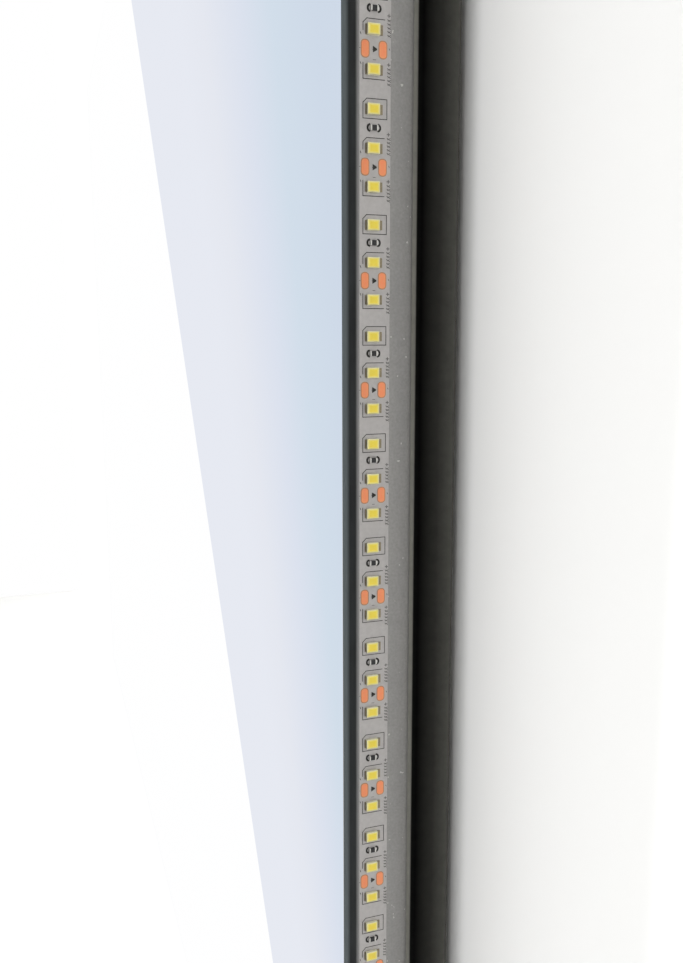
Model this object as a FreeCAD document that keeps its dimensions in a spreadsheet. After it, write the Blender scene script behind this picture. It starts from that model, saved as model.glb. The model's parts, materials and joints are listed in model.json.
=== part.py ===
"""Backlit wall mirror: silvered glass, aluminium frame with LED strips, back pan and wall rail.

Frame of the model: X is the width, -Y is the front, +Y points into the wall, +Z is up.
The origin is the centre of the wall rail's back face, on the wall plane.
"""

import FreeCAD
import Part
import Sketcher
import math
import os
from dataclasses import dataclass
from FreeCAD import Placement, Rotation, Vector

SIZES = (
    # name, millimetres, what it is
    ("GlassWidth", 800.0, "width of the mirror glass"),
    ("GlassHeight", 600.0, "height of the mirror glass"),
    ("GlassThickness", 4.0, "thickness of the mirror glass"),
    ("GlassArris", 0.4, "ground chamfer along the glass edges"),
    ("GlassCorner", 3.0, "radius of the glass corners"),
    ("OverallDepth", 38.0, "front of the glass to the wall"),
    ("HangDrop", 110.0, "top of the glass above the wall rail's centre"),
    ("TapeThickness", 1.0, "bonding tape between glass and frame"),
    ("TapeWidth", 14.0, "width of the bonding tape"),
    ("TapeMargin", 2.0, "tape edge behind the frame's outer face"),
    ("Overhang", 15.0, "glass edge beyond the frame's outer face"),
    ("FrameDepth", 18.0, "front flange to rear flange of the frame"),
    ("FrameWall", 1.5, "wall of the extruded frame"),
    ("FrontFlange", 18.0, "width of the frame's front flange"),
    ("RearFlange", 20.0, "width of the frame's rear flange"),
    ("RibHeight", 8.0, "frame rib behind the rear flange"),
    ("RearRound", 2.0, "radius of the frame's outer rear edge"),
    ("FrontRound", 0.4, "radius of the frame's outer front edge"),
    ("MitreSlack", 1.0, "how far the mitre cut runs past the flange"),
    ("PanInset", 4.0, "frame's outer face to the pan's side wall"),
    ("PanSheet", 1.0, "sheet of the back pan"),
    ("PanFit", 0.2, "play between the pan and the frame rib"),
    ("PanMouthGap", 0.3, "play between the pan's mouth and the rear flange"),
    ("PanCorner", 1.2, "radius of the pan's upright corners"),
    ("PanBend", 1.5, "bend radius round the pan's back"),
    ("WallGap", 1.5, "pan's back to the wall"),
    ("BoardWidth", 8.0, "width of the LED strip"),
    ("BoardThickness", 0.4, "thickness of the LED strip with its adhesive"),
    ("StripSetback", 3.6, "frame's front to the strip's front edge"),
    ("UnitLength", 25.0, "one cuttable unit of the LED strip"),
    ("StripEnd", 21.0, "least gap from a strip's end to the frame's corner"),
    ("ChipAcross", 3.5, "LED body across the strip"),
    ("ChipAlong", 2.8, "LED body along the strip"),
    ("ChipHeight", 0.8, "LED body height"),
    ("ResistorAcross", 2.0, "resistor across the strip"),
    ("ResistorAlong", 1.25, "resistor along the strip"),
    ("ResistorHeight", 0.5, "resistor height"),
    ("PadOffset", 2.2, "solder pad from the strip's centre line"),
    ("KeyInset", 4.0, "corner key from the frame's outer face"),
    ("KeyWidth", 12.0, "width of a corner key's leg"),
    ("KeyLeg", 60.0, "length of a corner key's leg"),
    ("KeySheet", 1.5, "thickness of a corner key"),
    ("KeyScrewInset", 13.0, "corner screw from the frame's outer face"),
    ("KeyScrewNear", 28.0, "first corner screw from the corner"),
    ("KeyScrewFar", 52.0, "second corner screw from the corner"),
    ("ScrewRadius", 1.5, "shank radius of the M3 screws"),
    ("ScrewHead", 3.2, "head radius of the M3 screws, over the corners"),
    ("ScrewHeadHeight", 1.8, "head height of the M3 screws"),
    ("ScrewPlay", 0.1, "play round a screw's shank"),
    ("KeyScrewLength", 5.0, "shank length of the corner screws"),
    ("PanScrewLength", 5.0, "shank length of the pan screws"),
    ("PanScrewSpread", 250.0, "outer pan screws from the middle, level sides"),
    ("PanScrewRise", 180.0, "pan screws from the middle, upright sides"),
    ("PlateScrewLength", 3.8, "shank length of the screws in the pan's back"),
    ("RailLength", 480.0, "length of the wall rail"),
    ("RailHeight", 30.0, "height of the wall rail"),
    ("RailSheet", 1.5, "wall of the rail"),
    ("RailTrough", 4.5, "width of the rail's trough"),
    ("RailLip", 14.0, "height of the rail's front lip"),
    ("SlotSpacing", 240.0, "between the rail's two screw slots"),
    ("SlotLength", 12.0, "length of a screw slot, end to end"),
    ("SlotRadius", 2.5, "half the width of a screw slot"),
    ("SlotRise", 7.5, "screw slots above the rail's centre"),
    ("HookSpacing", 400.0, "between the centres of the two hooks"),
    ("HookWidth", 60.0, "width of a hook"),
    ("HookPlate", 3.0, "thickness of a hook"),
    ("HookSeatGap", 0.1, "hook's lower edge above the trough's floor"),
    ("HookTop", 42.0, "hook's upper edge above the rail's centre"),
    ("HookCorner", 4.0, "radius of the hook's corners"),
    ("HookLead", 0.8, "chamfer of the hook's lower edge"),
    ("RivetRadius", 2.0, "shank radius of a rivet"),
    ("RivetHead", 4.0, "head radius of a rivet"),
    ("RivetHeadHeight", 1.2, "head height of a rivet"),
    ("RivetTail", 3.2, "radius of a rivet's closed end"),
    ("RivetSpread", 20.0, "rivets from the hook's middle"),
    ("RivetRise", 30.0, "rivets above the rail's centre"),
    ("LiftTravel", 13.0, "how far the mirror is lifted to clear the rail's lip"),
    ("WindowWidth", 510.0, "width of the pan's rail window"),
    ("WindowTop", 18.0, "window's upper edge above the rail's centre"),
    ("WindowPlay", 3.0, "window below the rail when the mirror is lifted off"),
    ("WindowCorner", 5.0, "radius of the window's corners"),
    ("VentLength", 40.0, "length of a vent slot"),
    ("VentRadius", 2.0, "half the width of a vent slot"),
    ("VentPitch", 12.0, "between the vent slots"),
    ("VentCount", 7.0, "vent slots in each row"),
    ("VentSpread", 250.0, "vent rows from the middle"),
    ("VentBase", 390.0, "lowest vent slot below the rail's centre"),
    ("BumperRadius", 7.0, "radius of a wall bumper"),
    ("BumperInsetX", 50.0, "bumpers from the pan's side walls"),
    ("BumperInsetZ", 45.0, "bumpers from the pan's top and bottom"),
    ("GearDrop", 150.0, "driver and terminal box below the rail's centre"),
    ("GearWall", 2.0, "wall of the driver case and terminal box"),
    ("DriverX", 60.0, "middle of the driver"),
    ("DriverLength", 150.0, "length of the driver case"),
    ("DriverWidth", 44.0, "width of the driver case"),
    ("DriverHeight", 20.0, "height of the driver case without its lid"),
    ("DriverEar", 12.0, "length of a driver mounting ear"),
    ("LidPlug", 2.0, "depth of the lid's locating rim"),
    ("LidFit", 0.3, "play of the lid's rim in its case"),
    ("PostRadius", 2.5, "radius of a board post"),
    ("PostHeight", 4.0, "height of a board post"),
    ("BoardMargin", 1.0, "driver board to the case wall"),
    ("DriverBoard", 1.6, "thickness of the driver board"),
    ("LeadLevel", 13.0, "inner leads above the wall plane"),
    ("LeadHole", 5.0, "half the width of a lead opening in a housing wall"),
    ("EarthHole", 2.5, "half the width of the earth lead's opening"),
    ("LeadRun", 8.0, "straight run of a lead into a terminal or out of a housing"),
    ("LeadFall", 22.0, "run over which a lead comes down on the pan"),
    ("LeadColumn", 25.0, "upright run of the 12 V leads, from the rear flange"),
    ("LeadTurn", 10.0, "run over which the 12 V leads turn into their grommet"),
    ("LeadStand", 4.0, "12 V leads outside the frame, from its face to their middle"),
    ("LeadDive", 6.8, "straight run of the 12 V leads down from their grommet"),
    ("MainsSpread", 2.5, "each mains lead from the middle line"),
    ("MainsSag", 4.0, "sag of the mains leads between the housings"),
    ("MainsRadius", 1.2, "radius of a mains lead"),
    ("SupplyRadius", 0.7, "radius of a 12 V lead"),
    ("SupplyPitch", 3.0, "between the two 12 V leads"),
    ("ConnectorDepth", 8.0, "length of a driver connector"),
    ("ConnectorWidth", 14.0, "width of a driver connector"),
    ("TransformerLength", 26.0, "length and width of the driver's transformer"),
    ("TransformerHeight", 9.0, "height of the driver's transformer"),
    ("CapacitorHeight", 9.5, "height of the driver's capacitors"),
    ("CapacitorSpread", 7.5, "capacitors from the driver's middle line"),
    ("BulkRadius", 5.0, "radius of an input capacitor"),
    ("BulkPlace", 42.0, "input capacitors from the driver's middle"),
    ("OutputRadius", 4.0, "radius of an output capacitor"),
    ("OutputPlace", 34.0, "output capacitors from the driver's middle"),
    ("ChokeOuter", 6.5, "outer radius of the choke"),
    ("ChokeInner", 2.5, "inner radius of the choke"),
    ("ChokeHeight", 5.0, "height of the choke"),
    ("ChokePlace", 26.0, "choke from the driver's middle"),
    ("BoxX", -110.0, "middle of the terminal box"),
    ("BoxLength", 70.0, "length of the terminal box"),
    ("BoxWidth", 50.0, "width of the terminal box"),
    ("BoxHeight", 22.0, "height of the terminal box without its lid"),
    ("BlockDepth", 16.0, "terminal block along its wires"),
    ("BlockPitch", 12.0, "between the poles of the terminal block"),
    ("BlockHeight", 14.0, "height of the terminal block"),
    ("BlockRecess", 4.6, "depth of a screw well in the terminal block"),
    ("BlockScrew", 2.4, "radius of a terminal screw"),
    ("BlockScrewHead", 2.3, "height of a terminal screw"),
    ("BlockSlot", 1.0, "width and depth of the slot in a terminal screw"),
    ("InletX", -132.0, "middle of the mains inlet"),
    ("InletBore", 4.0, "radius of the inlet grommet's bore"),
    ("InletHole", 6.0, "radius of the inlet hole"),
    ("GrommetFlange", 8.0, "radius of the inlet grommet's flanges"),
    ("GrommetLip", 1.2, "thickness of the inlet grommet's flanges"),
    ("OutletBore", 3.1, "radius of the lead grommet's bore"),
    ("OutletHole", 4.0, "radius of the lead hole in the frame"),
    ("OutletFlange", 5.0, "radius of the lead grommet's flanges"),
    ("OutletLip", 0.6, "thickness of the lead grommet's flanges"),
    ("OutletRun", 13.0, "lead hole beyond the strip's end"),
    ("TagRadius", 4.0, "radius of the earth tag's ring"),
    ("TagSheet", 0.8, "thickness of the earth tag"),
    ("CrimpLength", 7.0, "length of the earth tag's crimp"),
    ("CrimpGrip", 3.0, "length of the lead inside the crimp"),
    ("CrimpGap", 16.0, "terminal box to the crimp's end"),
    ("EarthX", -179.0, "middle of the earth screw"),
    ("ClipLength", 8.0, "lead clip along the leads"),
    ("ClipWidth", 14.0, "lead clip across the leads"),
    ("ClipHeight", 3.5, "lead clip above the pan's back"),
    ("ClipPlay", 0.2, "play of the leads in a clip"),
    ("ClipNear", 60.0, "first lead clip from the driver"),
    ("ClipFar", 150.0, "second lead clip from the driver"),
)

doc = FreeCAD.newDocument("BacklitMirror")
sheet = doc.addObject("Spreadsheet::Sheet", "Sizes")
for row, (name, value, note) in enumerate(SIZES, start=1):
    sheet.set(f"A{row}", name)
    sheet.set(f"B{row}", str(value))
    sheet.set(f"C{row}", note)
    sheet.setAlias(f"B{row}", name)
doc.recompute()


def size(name):
    """Return a size of the sheet in millimetres."""
    return float(sheet.get(name))


# Places that several pieces share, as expressions and as numbers.
FRAME_FRONT = "-(Sizes.OverallDepth - Sizes.GlassThickness - Sizes.TapeThickness)"
FRAME_REAR = f"({FRAME_FRONT} + Sizes.FrameDepth)"
MIDDLE_Z = "(Sizes.HangDrop - Sizes.GlassHeight / 2)"
HALF_WIDTH = "(Sizes.GlassWidth / 2 - Sizes.Overhang)"
HALF_HEIGHT = "(Sizes.GlassHeight / 2 - Sizes.Overhang)"
RIB_OUTER = "(Sizes.PanInset + Sizes.PanSheet + Sizes.PanFit)"
PAN_HALF_X = f"({HALF_WIDTH} - Sizes.PanInset)"
PAN_HALF_Z = f"({HALF_HEIGHT} - Sizes.PanInset)"
PLATE_FRONT = "(Sizes.WallGap + Sizes.PanSheet)"
SCREW_HOLE = "(Sizes.ScrewRadius + Sizes.ScrewPlay)"
RIB_SCREW_Y = f"({FRAME_REAR} + Sizes.RibHeight / 2)"
TROUGH_FLOOR = "(-Sizes.RailHeight / 2 + Sizes.RailSheet)"
SIDE_UNITS = f"floor(2 * ({HALF_HEIGHT} - Sizes.StripEnd) / Sizes.UnitLength)"
TOP_UNITS = f"floor(2 * ({HALF_WIDTH} - Sizes.StripEnd) / Sizes.UnitLength)"
EAR_X = "(Sizes.DriverLength / 2 + Sizes.DriverEar / 2)"
BOX_SCREW_X = "(Sizes.BoxLength / 2 - Sizes.GearWall - 2 * Sizes.ScrewHead)"
BOX_SCREW_Z = "(Sizes.BoxWidth / 2 - Sizes.GearWall - 2 * Sizes.ScrewHead)"
PLATE_SCREWS = (
    (f"Sizes.DriverX - {EAR_X}", "-Sizes.GearDrop"),
    (f"Sizes.DriverX + {EAR_X}", "-Sizes.GearDrop"),
    (f"Sizes.BoxX + {BOX_SCREW_X}", f"-Sizes.GearDrop - {BOX_SCREW_Z}"),
    (f"Sizes.BoxX + {BOX_SCREW_X}", f"-Sizes.GearDrop + {BOX_SCREW_Z}"),
    ("Sizes.EarthX", "-Sizes.GearDrop - Sizes.BlockPitch"),
)

# How many flats stand for a small round.
HEX = 6
RIVET_FLATS = 8
VENT_FLATS = 4  # at each end of a vent slot
OUTLET_FLATS = 12
INLET_FLATS = 16

POLES = (-1, 0, 1)  # of the terminal block, in pitches from its middle
BEND_SHARE = 0.45  # of a lead's shorter run that a bend may take
VOLUME_SLACK = 0.01  # between a lead's volume and its section times its length

frame_front = -(size("OverallDepth") - size("GlassThickness") - size("TapeThickness"))
frame_rear = frame_front + size("FrameDepth")
middle_z = size("HangDrop") - size("GlassHeight") / 2
half_width = size("GlassWidth") / 2 - size("Overhang")
half_height = size("GlassHeight") / 2 - size("Overhang")
strip_y = frame_front + size("StripSetback") + size("BoardWidth") / 2
rib_screw_y = frame_rear + size("RibHeight") / 2
plate_front = size("WallGap") + size("PanSheet")
gear_z = -size("GearDrop")
ear_x = size("DriverLength") / 2 + size("DriverEar") / 2
box_screw_x = size("BoxLength") / 2 - size("GearWall") - 2 * size("ScrewHead")
box_screw_z = size("BoxWidth") / 2 - size("GearWall") - 2 * size("ScrewHead")
lead_column = half_width - size("RearFlange") - size("LeadColumn")
driver_end = size("DriverX") + size("DriverLength") / 2


@dataclass(frozen=True)
class Side:
    """One side of the frame; its own X runs along it, its own Z points inward."""

    name: str
    half: str
    base_x: str
    base_z: str
    turn: float
    units: str
    half_length: float
    base: Vector
    screws: tuple
    screw_places: tuple

    @property
    def placement(self):
        """Placement of everything that is drawn in this side's own frame."""
        return Placement(self.base, Rotation(Vector(0, 1, 0), self.turn))

    @property
    def unit_count(self):
        """How many whole units of LED strip fit on this side."""
        return math.floor(2 * (self.half_length - size("StripEnd")) / size("UnitLength"))

    @property
    def strip_half(self):
        """Half the length of this side's LED strip."""
        return self.unit_count * size("UnitLength") / 2


SPREAD = ("-Sizes.PanScrewSpread", "0", "Sizes.PanScrewSpread")
RISE = ("-Sizes.PanScrewRise", "Sizes.PanScrewRise")
spread = (-size("PanScrewSpread"), 0, size("PanScrewSpread"))
rise = (-size("PanScrewRise"), size("PanScrewRise"))
BOTTOM = Side("bottom", HALF_WIDTH, "0", f"{MIDDLE_Z} - {HALF_HEIGHT}", 0, TOP_UNITS,
              half_width, Vector(0, 0, middle_z - half_height), SPREAD, spread)
TOP = Side("top", HALF_WIDTH, "0", f"{MIDDLE_Z} + {HALF_HEIGHT}", 180, TOP_UNITS,
           half_width, Vector(0, 0, middle_z + half_height), SPREAD, spread)
RIGHT = Side("right", HALF_HEIGHT, HALF_WIDTH, MIDDLE_Z, -90, SIDE_UNITS,
             half_height, Vector(half_width, 0, middle_z), RISE, rise)
LEFT = Side("left", HALF_HEIGHT, f"-{HALF_WIDTH}", MIDDLE_Z, 90, SIDE_UNITS,
            half_height, Vector(-half_width, 0, middle_z), RISE, rise)
SIDES = (RIGHT, BOTTOM, LEFT, TOP)

parts = []


# ---------------------------------------------------------------- drawing helpers

def new_body(label):
    """Start a named body."""
    body = doc.addObject("PartDesign::Body", label)
    body.Label = label
    parts.append(body)
    return body


def new_sketch(body, name, role, height="0"):
    """Start a sketch on one of the body's own planes, raised by an expression."""
    sketch = body.newObject("Sketcher::SketchObject", name)
    plane = next(item for item in body.Origin.OriginFeatures if item.Role == role)
    sketch.AttachmentSupport = (plane, "")
    sketch.MapMode = "FlatFace"
    sketch.setExpression("AttachmentOffset.Base.z", height)
    return sketch


def bind(sketch, constraint, expression):
    """Add a dimension to a sketch and bind it to an expression."""
    index = sketch.addConstraint(constraint)
    sketch.setExpression(f"Constraints[{index}]", expression)


def draw_polygon(sketch, corners):
    """Close a polygon whose corners stand at pairs of expressions."""
    first = sketch.GeometryCount
    count = len(corners)
    turn = 2 * math.pi / count
    ring = [Vector(math.cos(turn * i), math.sin(turn * i), 0) for i in range(count)]
    for i in range(count):
        sketch.addGeometry(Part.LineSegment(ring[i], ring[(i + 1) % count]), False)
    for i in range(count):
        sketch.addConstraint(Sketcher.Constraint("Coincident", first + i, 2, first + (i + 1) % count, 1))
    for i, (across, up) in enumerate(corners):
        bind(sketch, Sketcher.Constraint("DistanceX", -1, 1, first + i, 1, 1.0), across)
        bind(sketch, Sketcher.Constraint("DistanceY", -1, 1, first + i, 1, 1.0), up)


def draw_rectangle(sketch, left, right, low, high):
    """Draw an upright rectangle between four expressions."""
    draw_polygon(sketch, ((left, low), (right, low), (right, high), (left, high)))


def draw_flats(sketch, across, up, radius, flats, first=0):
    """Draw a regular polygon for a small hole; radius is over its corners, first turns it."""
    corners = []
    for i in range(flats):
        angle = math.radians(first) + 2 * math.pi * i / flats
        corners.append((f"{across} + {radius} * ({math.cos(angle):.9f})",
                        f"{up} + {radius} * ({math.sin(angle):.9f})"))
    draw_polygon(sketch, corners)


def draw_vent(sketch, across, up, length, radius):
    """Draw a level vent slot whose ends are rounded in a few flats."""
    reach = f"({length} / 2 - {radius})"
    corners = []
    for sign, start in (("+", -90), ("-", 90)):
        for step in range(VENT_FLATS + 1):
            angle = math.radians(start + 180 * step / VENT_FLATS)
            corners.append((f"{across} {sign} {reach} + {radius} * ({math.cos(angle):.9f})",
                            f"{up} + {radius} * ({math.sin(angle):.9f})"))
    draw_polygon(sketch, corners)


def draw_slot(sketch, across, up, length, radius):
    """Draw a level slot with round ends; length is end to end."""
    reach = f"({length} / 2 - {radius})"
    quarter = math.pi / 2
    ends = []
    for sign, start in ((1, -quarter), (-1, quarter)):
        circle = Part.Circle(Vector(5 * sign, 0, 0), Vector(0, 0, 1), 1.0)
        arc = sketch.addGeometry(Part.ArcOfCircle(circle, start, start + math.pi), False)
        for point in (1, 2):
            sketch.addConstraint(Sketcher.Constraint("Vertical", arc, 3, arc, point))
        ends.append(arc)
    right, left = ends
    for side, start, end in ((1, right, left), (-1, left, right)):
        line = Part.LineSegment(Vector(5 * side, side, 0), Vector(-5 * side, side, 0))
        item = sketch.addGeometry(line, False)
        sketch.addConstraint(Sketcher.Constraint("Coincident", start, 2, item, 1))
        sketch.addConstraint(Sketcher.Constraint("Coincident", item, 2, end, 1))
    for sign, arc in ((1, right), (-1, left)):
        bind(sketch, Sketcher.Constraint("DistanceX", -1, 1, arc, 3, 5.0 * sign),
             f"{across} + {sign} * {reach}")
        bind(sketch, Sketcher.Constraint("DistanceY", -1, 1, arc, 3, 1.0), up)
        bind(sketch, Sketcher.Constraint("Radius", arc, 1.0), radius)


def pad(body, sketch, name, length, symmetric=False, backwards=False):
    """Raise a sketch by an expression."""
    feature = body.newObject("PartDesign::Pad", name)
    feature.Profile = sketch
    feature.SideType = "Symmetric" if symmetric else "One side"
    feature.Reversed = backwards
    feature.setExpression("Length", length)
    doc.recompute()
    return feature


def pocket(body, sketch, name, length=None, backwards=False):
    """Cut a sketch right through both ways, or to a depth one way, and check that it cut."""
    before = body.Shape.Volume
    feature = body.newObject("PartDesign::Pocket", name)
    feature.Profile = sketch
    feature.Reversed = backwards
    if length is None:
        feature.Type = "Length"
        feature.SideType = "Symmetric"
        feature.setExpression("Length", "4 * (Sizes.GlassWidth + Sizes.GlassHeight)")
    else:
        feature.setExpression("Length", length)
    doc.recompute()
    if not body.Shape.Volume < before:
        raise RuntimeError(f"{body.Label}: {name} cut nothing")
    return feature


def edges_where(feature, keep):
    """Name the edges of a feature that pass a test."""
    return [f"Edge{i}" for i, edge in enumerate(feature.Shape.Edges, start=1) if keep(edge)]


def is_along(edge, direction):
    """Tell whether a straight edge runs along a direction."""
    if len(edge.Vertexes) != 2:
        return False
    span = edge.Vertexes[1].Point - edge.Vertexes[0].Point
    straight = abs(span.Length - edge.Length) < 1e-6
    return straight and abs(abs(span.dot(direction)) - span.Length) < 1e-6


def dress(body, kind, name, base, edges, amount):
    """Add a fillet or chamfer whose size is an expression."""
    feature = body.newObject(f"PartDesign::{kind}", name)
    feature.Base = (base, edges)
    feature.setExpression("Radius" if kind == "Fillet" else "Size", amount)
    doc.recompute()
    return feature


def place_on_side(item, side):
    """Bind a body's placement to the side of the frame that carries it."""
    item.setExpression("Placement.Base.x", side.base_x)
    item.setExpression("Placement.Base.z", side.base_z)
    item.Placement.Rotation = Rotation(Vector(0, 1, 0), side.turn)


def new_shape(label, shapes, placement=None):
    """Keep one or more plain solids under a name."""
    item = doc.addObject("Part::Feature", label)
    item.Label = label
    item.Shape = shapes[0] if len(shapes) == 1 else Part.makeCompound(shapes)
    if placement:
        item.Placement = placement
    parts.append(item)
    return item


def box(low, high):
    """Make a box between two corners."""
    span = Vector(*high) - Vector(*low)
    return Part.makeBox(span.x, span.y, span.z, Vector(*low))


def rod(start, direction, radius, length):
    """Make a cylinder from a point along a direction."""
    return Part.makeCylinder(radius, length, Vector(*start), Vector(*direction))


def prism(start, direction, radius, length, flats):
    """Make a regular prism from a point along a direction; radius is over its corners."""
    ahead = Vector(*direction)
    across = Vector(0, 1, 0) if abs(ahead.x) > 0.5 else Vector(1, 0, 0)
    other = ahead.cross(across)
    corners = []
    for i in range(flats):
        angle = 2 * math.pi * i / flats
        corners.append(Vector(*start) + across * (radius * math.cos(angle))
                       + other * (radius * math.sin(angle)))
    return Part.Face(Part.makePolygon(corners + corners[:1])).extrude(ahead * length)


def screw(seat, direction, length):
    """Make a hexagon-head screw; it points along direction and its head stands on the seat."""
    shank = prism(seat, direction, size("ScrewRadius"), length, HEX)
    outward = tuple(-part for part in direction)
    return prism(seat, outward, size("ScrewHead"), size("ScrewHeadHeight"), HEX).fuse(shank)


def lead(points, radius, bend):
    """Sweep a six-sided lead along straight runs joined by tangent arcs, and check its volume."""
    corners = [Vector(*point) for point in points]
    edges = []
    start = corners[0]
    for before, corner, after in zip(corners, corners[1:], corners[2:]):
        back = (before - corner).normalize()
        ahead = (after - corner).normalize()
        turn = math.pi - back.getAngle(ahead)
        shorter = min((before - corner).Length, (after - corner).Length)
        arc_radius = min(bend, BEND_SHARE * shorter / math.tan(turn / 2))
        cut = arc_radius * math.tan(turn / 2)
        enter, leave = corner + back * cut, corner + ahead * cut
        inward = (back + ahead).normalize()
        middle = corner + inward * (arc_radius / math.cos(turn / 2) - arc_radius)
        edges.append(Part.LineSegment(start, enter).toShape())
        edges.append(Part.Arc(enter, middle, leave).toShape())
        start = leave
    edges.append(Part.LineSegment(start, corners[-1]).toShape())
    path = Part.Wire(edges)
    ahead = (corners[1] - corners[0]).normalize()
    across = ahead.cross(Vector(0, 1, 0) if abs(ahead.y) < 0.5 else Vector(1, 0, 0)).normalize()
    other = ahead.cross(across)
    rim = [corners[0] + across * (radius * math.cos(2 * math.pi * i / HEX))
           + other * (radius * math.sin(2 * math.pi * i / HEX)) for i in range(HEX)]
    section = Part.makePolygon(rim + rim[:1])
    tube = path.makePipeShell([section], True, False)
    expected = Part.Face(section).Area * path.Length
    if abs(tube.Volume / expected - 1) > VOLUME_SLACK:
        raise RuntimeError(f"lead volume {tube.Volume:.1f} is not {expected:.1f}")
    return tube


# ---------------------------------------------------------------- glass and tape

def make_glass():
    """Silvered glass with rounded corners and a ground arris round both faces."""
    body = new_body("mirror_glass")
    rear = "Sizes.OverallDepth - Sizes.GlassThickness"
    sketch = new_sketch(body, "GlassOutline", "XZ_Plane", rear)
    low = f"{MIDDLE_Z} - Sizes.GlassHeight / 2"
    high = f"{MIDDLE_Z} + Sizes.GlassHeight / 2"
    draw_rectangle(sketch, "-Sizes.GlassWidth / 2", "Sizes.GlassWidth / 2", low, high)
    sheet_glass = pad(body, sketch, "GlassPane", "Sizes.GlassThickness")
    upright = edges_where(sheet_glass, lambda edge: is_along(edge, Vector(0, 1, 0)))
    corners = dress(body, "Fillet", "GlassCorners", sheet_glass, upright, "Sizes.GlassCorner")
    rims = edges_where(corners, lambda edge: edge.BoundBox.YLength < 1e-6)
    dress(body, "Chamfer", "GlassEdge", corners, rims, "Sizes.GlassArris")


def make_tape():
    """Four strips of foam tape between the glass and the frame's front flanges."""
    front = frame_front - size("TapeThickness")
    inner = size("TapeMargin") + size("TapeWidth")
    strips = []
    for side in SIDES:
        trim = inner if side in (RIGHT, LEFT) else size("TapeMargin")
        reach = side.half_length - trim
        strip = box((-reach, front, size("TapeMargin")), (reach, frame_front, inner))
        strip.Placement = side.placement
        strips.append(strip)
    new_shape("bonding_tape", strips)


# ---------------------------------------------------------------- frame

def make_frame_side(side):
    """Extruded frame member: front flange, outer web, rear flange and rib, mitred at both ends."""
    body = new_body(f"frame_{side.name}")
    profile = new_sketch(body, f"Profile_{side.name}", "YZ_Plane")
    rib_inner = f"({RIB_OUTER} + Sizes.FrameWall)"
    rib_rear = f"({FRAME_REAR} + Sizes.RibHeight)"
    flange_front = f"({FRAME_REAR} - Sizes.FrameWall)"
    flange_rear = f"({FRAME_FRONT} + Sizes.FrameWall)"
    draw_polygon(profile, (
        (FRAME_FRONT, "0"),
        (FRAME_REAR, "0"),
        (FRAME_REAR, RIB_OUTER),
        (rib_rear, RIB_OUTER),
        (rib_rear, rib_inner),
        (FRAME_REAR, rib_inner),
        (FRAME_REAR, "Sizes.RearFlange"),
        (flange_front, "Sizes.RearFlange"),
        (flange_front, "Sizes.FrameWall"),
        (flange_rear, "Sizes.FrameWall"),
        (flange_rear, "Sizes.FrontFlange"),
        (FRAME_FRONT, "Sizes.FrontFlange"),
    ))
    bar = pad(body, profile, f"Bar_{side.name}", f"2 * {side.half}", symmetric=True)

    def on_outer_edge(y):
        """Test for the long outer edge at a depth."""
        return lambda edge: (is_along(edge, Vector(1, 0, 0))
                             and abs(edge.BoundBox.ZMin) < 1e-6
                             and abs(edge.BoundBox.YMin - y) < 1e-6)

    rear = dress(body, "Fillet", f"RearRound_{side.name}", bar,
                 edges_where(bar, on_outer_edge(frame_rear)), "Sizes.RearRound")
    dress(body, "Fillet", f"FrontRound_{side.name}", rear,
          edges_where(rear, on_outer_edge(frame_front)), "Sizes.FrontRound")

    mitre = new_sketch(body, f"Mitre_{side.name}", "XZ_Plane")
    reach = "(Sizes.RearFlange + Sizes.MitreSlack)"
    draw_polygon(mitre, ((side.half, "0"), (side.half, reach), (f"{side.half} - {reach}", reach)))
    draw_polygon(mitre, ((f"-{side.half}", "0"), (f"-{side.half}", reach),
                         (f"-{side.half} + {reach}", reach)))
    pocket(body, mitre, f"MitreCut_{side.name}")

    holes = new_sketch(body, f"KeyHoles_{side.name}", "XZ_Plane", f"-{FRAME_REAR}")
    for sign in ("", "-"):
        for place in ("Sizes.KeyScrewNear", "Sizes.KeyScrewFar"):
            draw_flats(holes, f"{sign}({side.half} - {place})", "Sizes.KeyScrewInset", SCREW_HOLE, HEX)
    pocket(body, holes, f"KeyDrill_{side.name}", "2 * Sizes.FrameWall", backwards=True)
    rib = new_sketch(body, f"RibHoles_{side.name}", "XY_Plane")
    for place in side.screws:
        draw_flats(rib, place, RIB_SCREW_Y, "Sizes.ScrewRadius", HEX)
    pocket(body, rib, f"RibDrill_{side.name}")
    if side is RIGHT:
        outlet = new_sketch(body, "LeadHole", "XY_Plane")
        place = f"{side.units} * Sizes.UnitLength / 2 + Sizes.OutletRun"
        centre = f"{FRAME_FRONT} + Sizes.StripSetback + Sizes.BoardWidth / 2"
        draw_flats(outlet, place, centre, "Sizes.OutletHole", OUTLET_FLATS)
        pocket(body, outlet, "LeadDrill")
    place_on_side(body, side)


def corner_screw_solids(make):
    """Make one solid at every corner screw's seat on the rear flanges, in its side's frame."""
    solids = []
    for side in SIDES:
        for sign in (-1, 1):
            for near in (size("KeyScrewNear"), size("KeyScrewFar")):
                solid = make((sign * (side.half_length - near), frame_rear, size("KeyScrewInset")))
                solid.Placement = side.placement
                solids.append(solid)
    return solids


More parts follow.
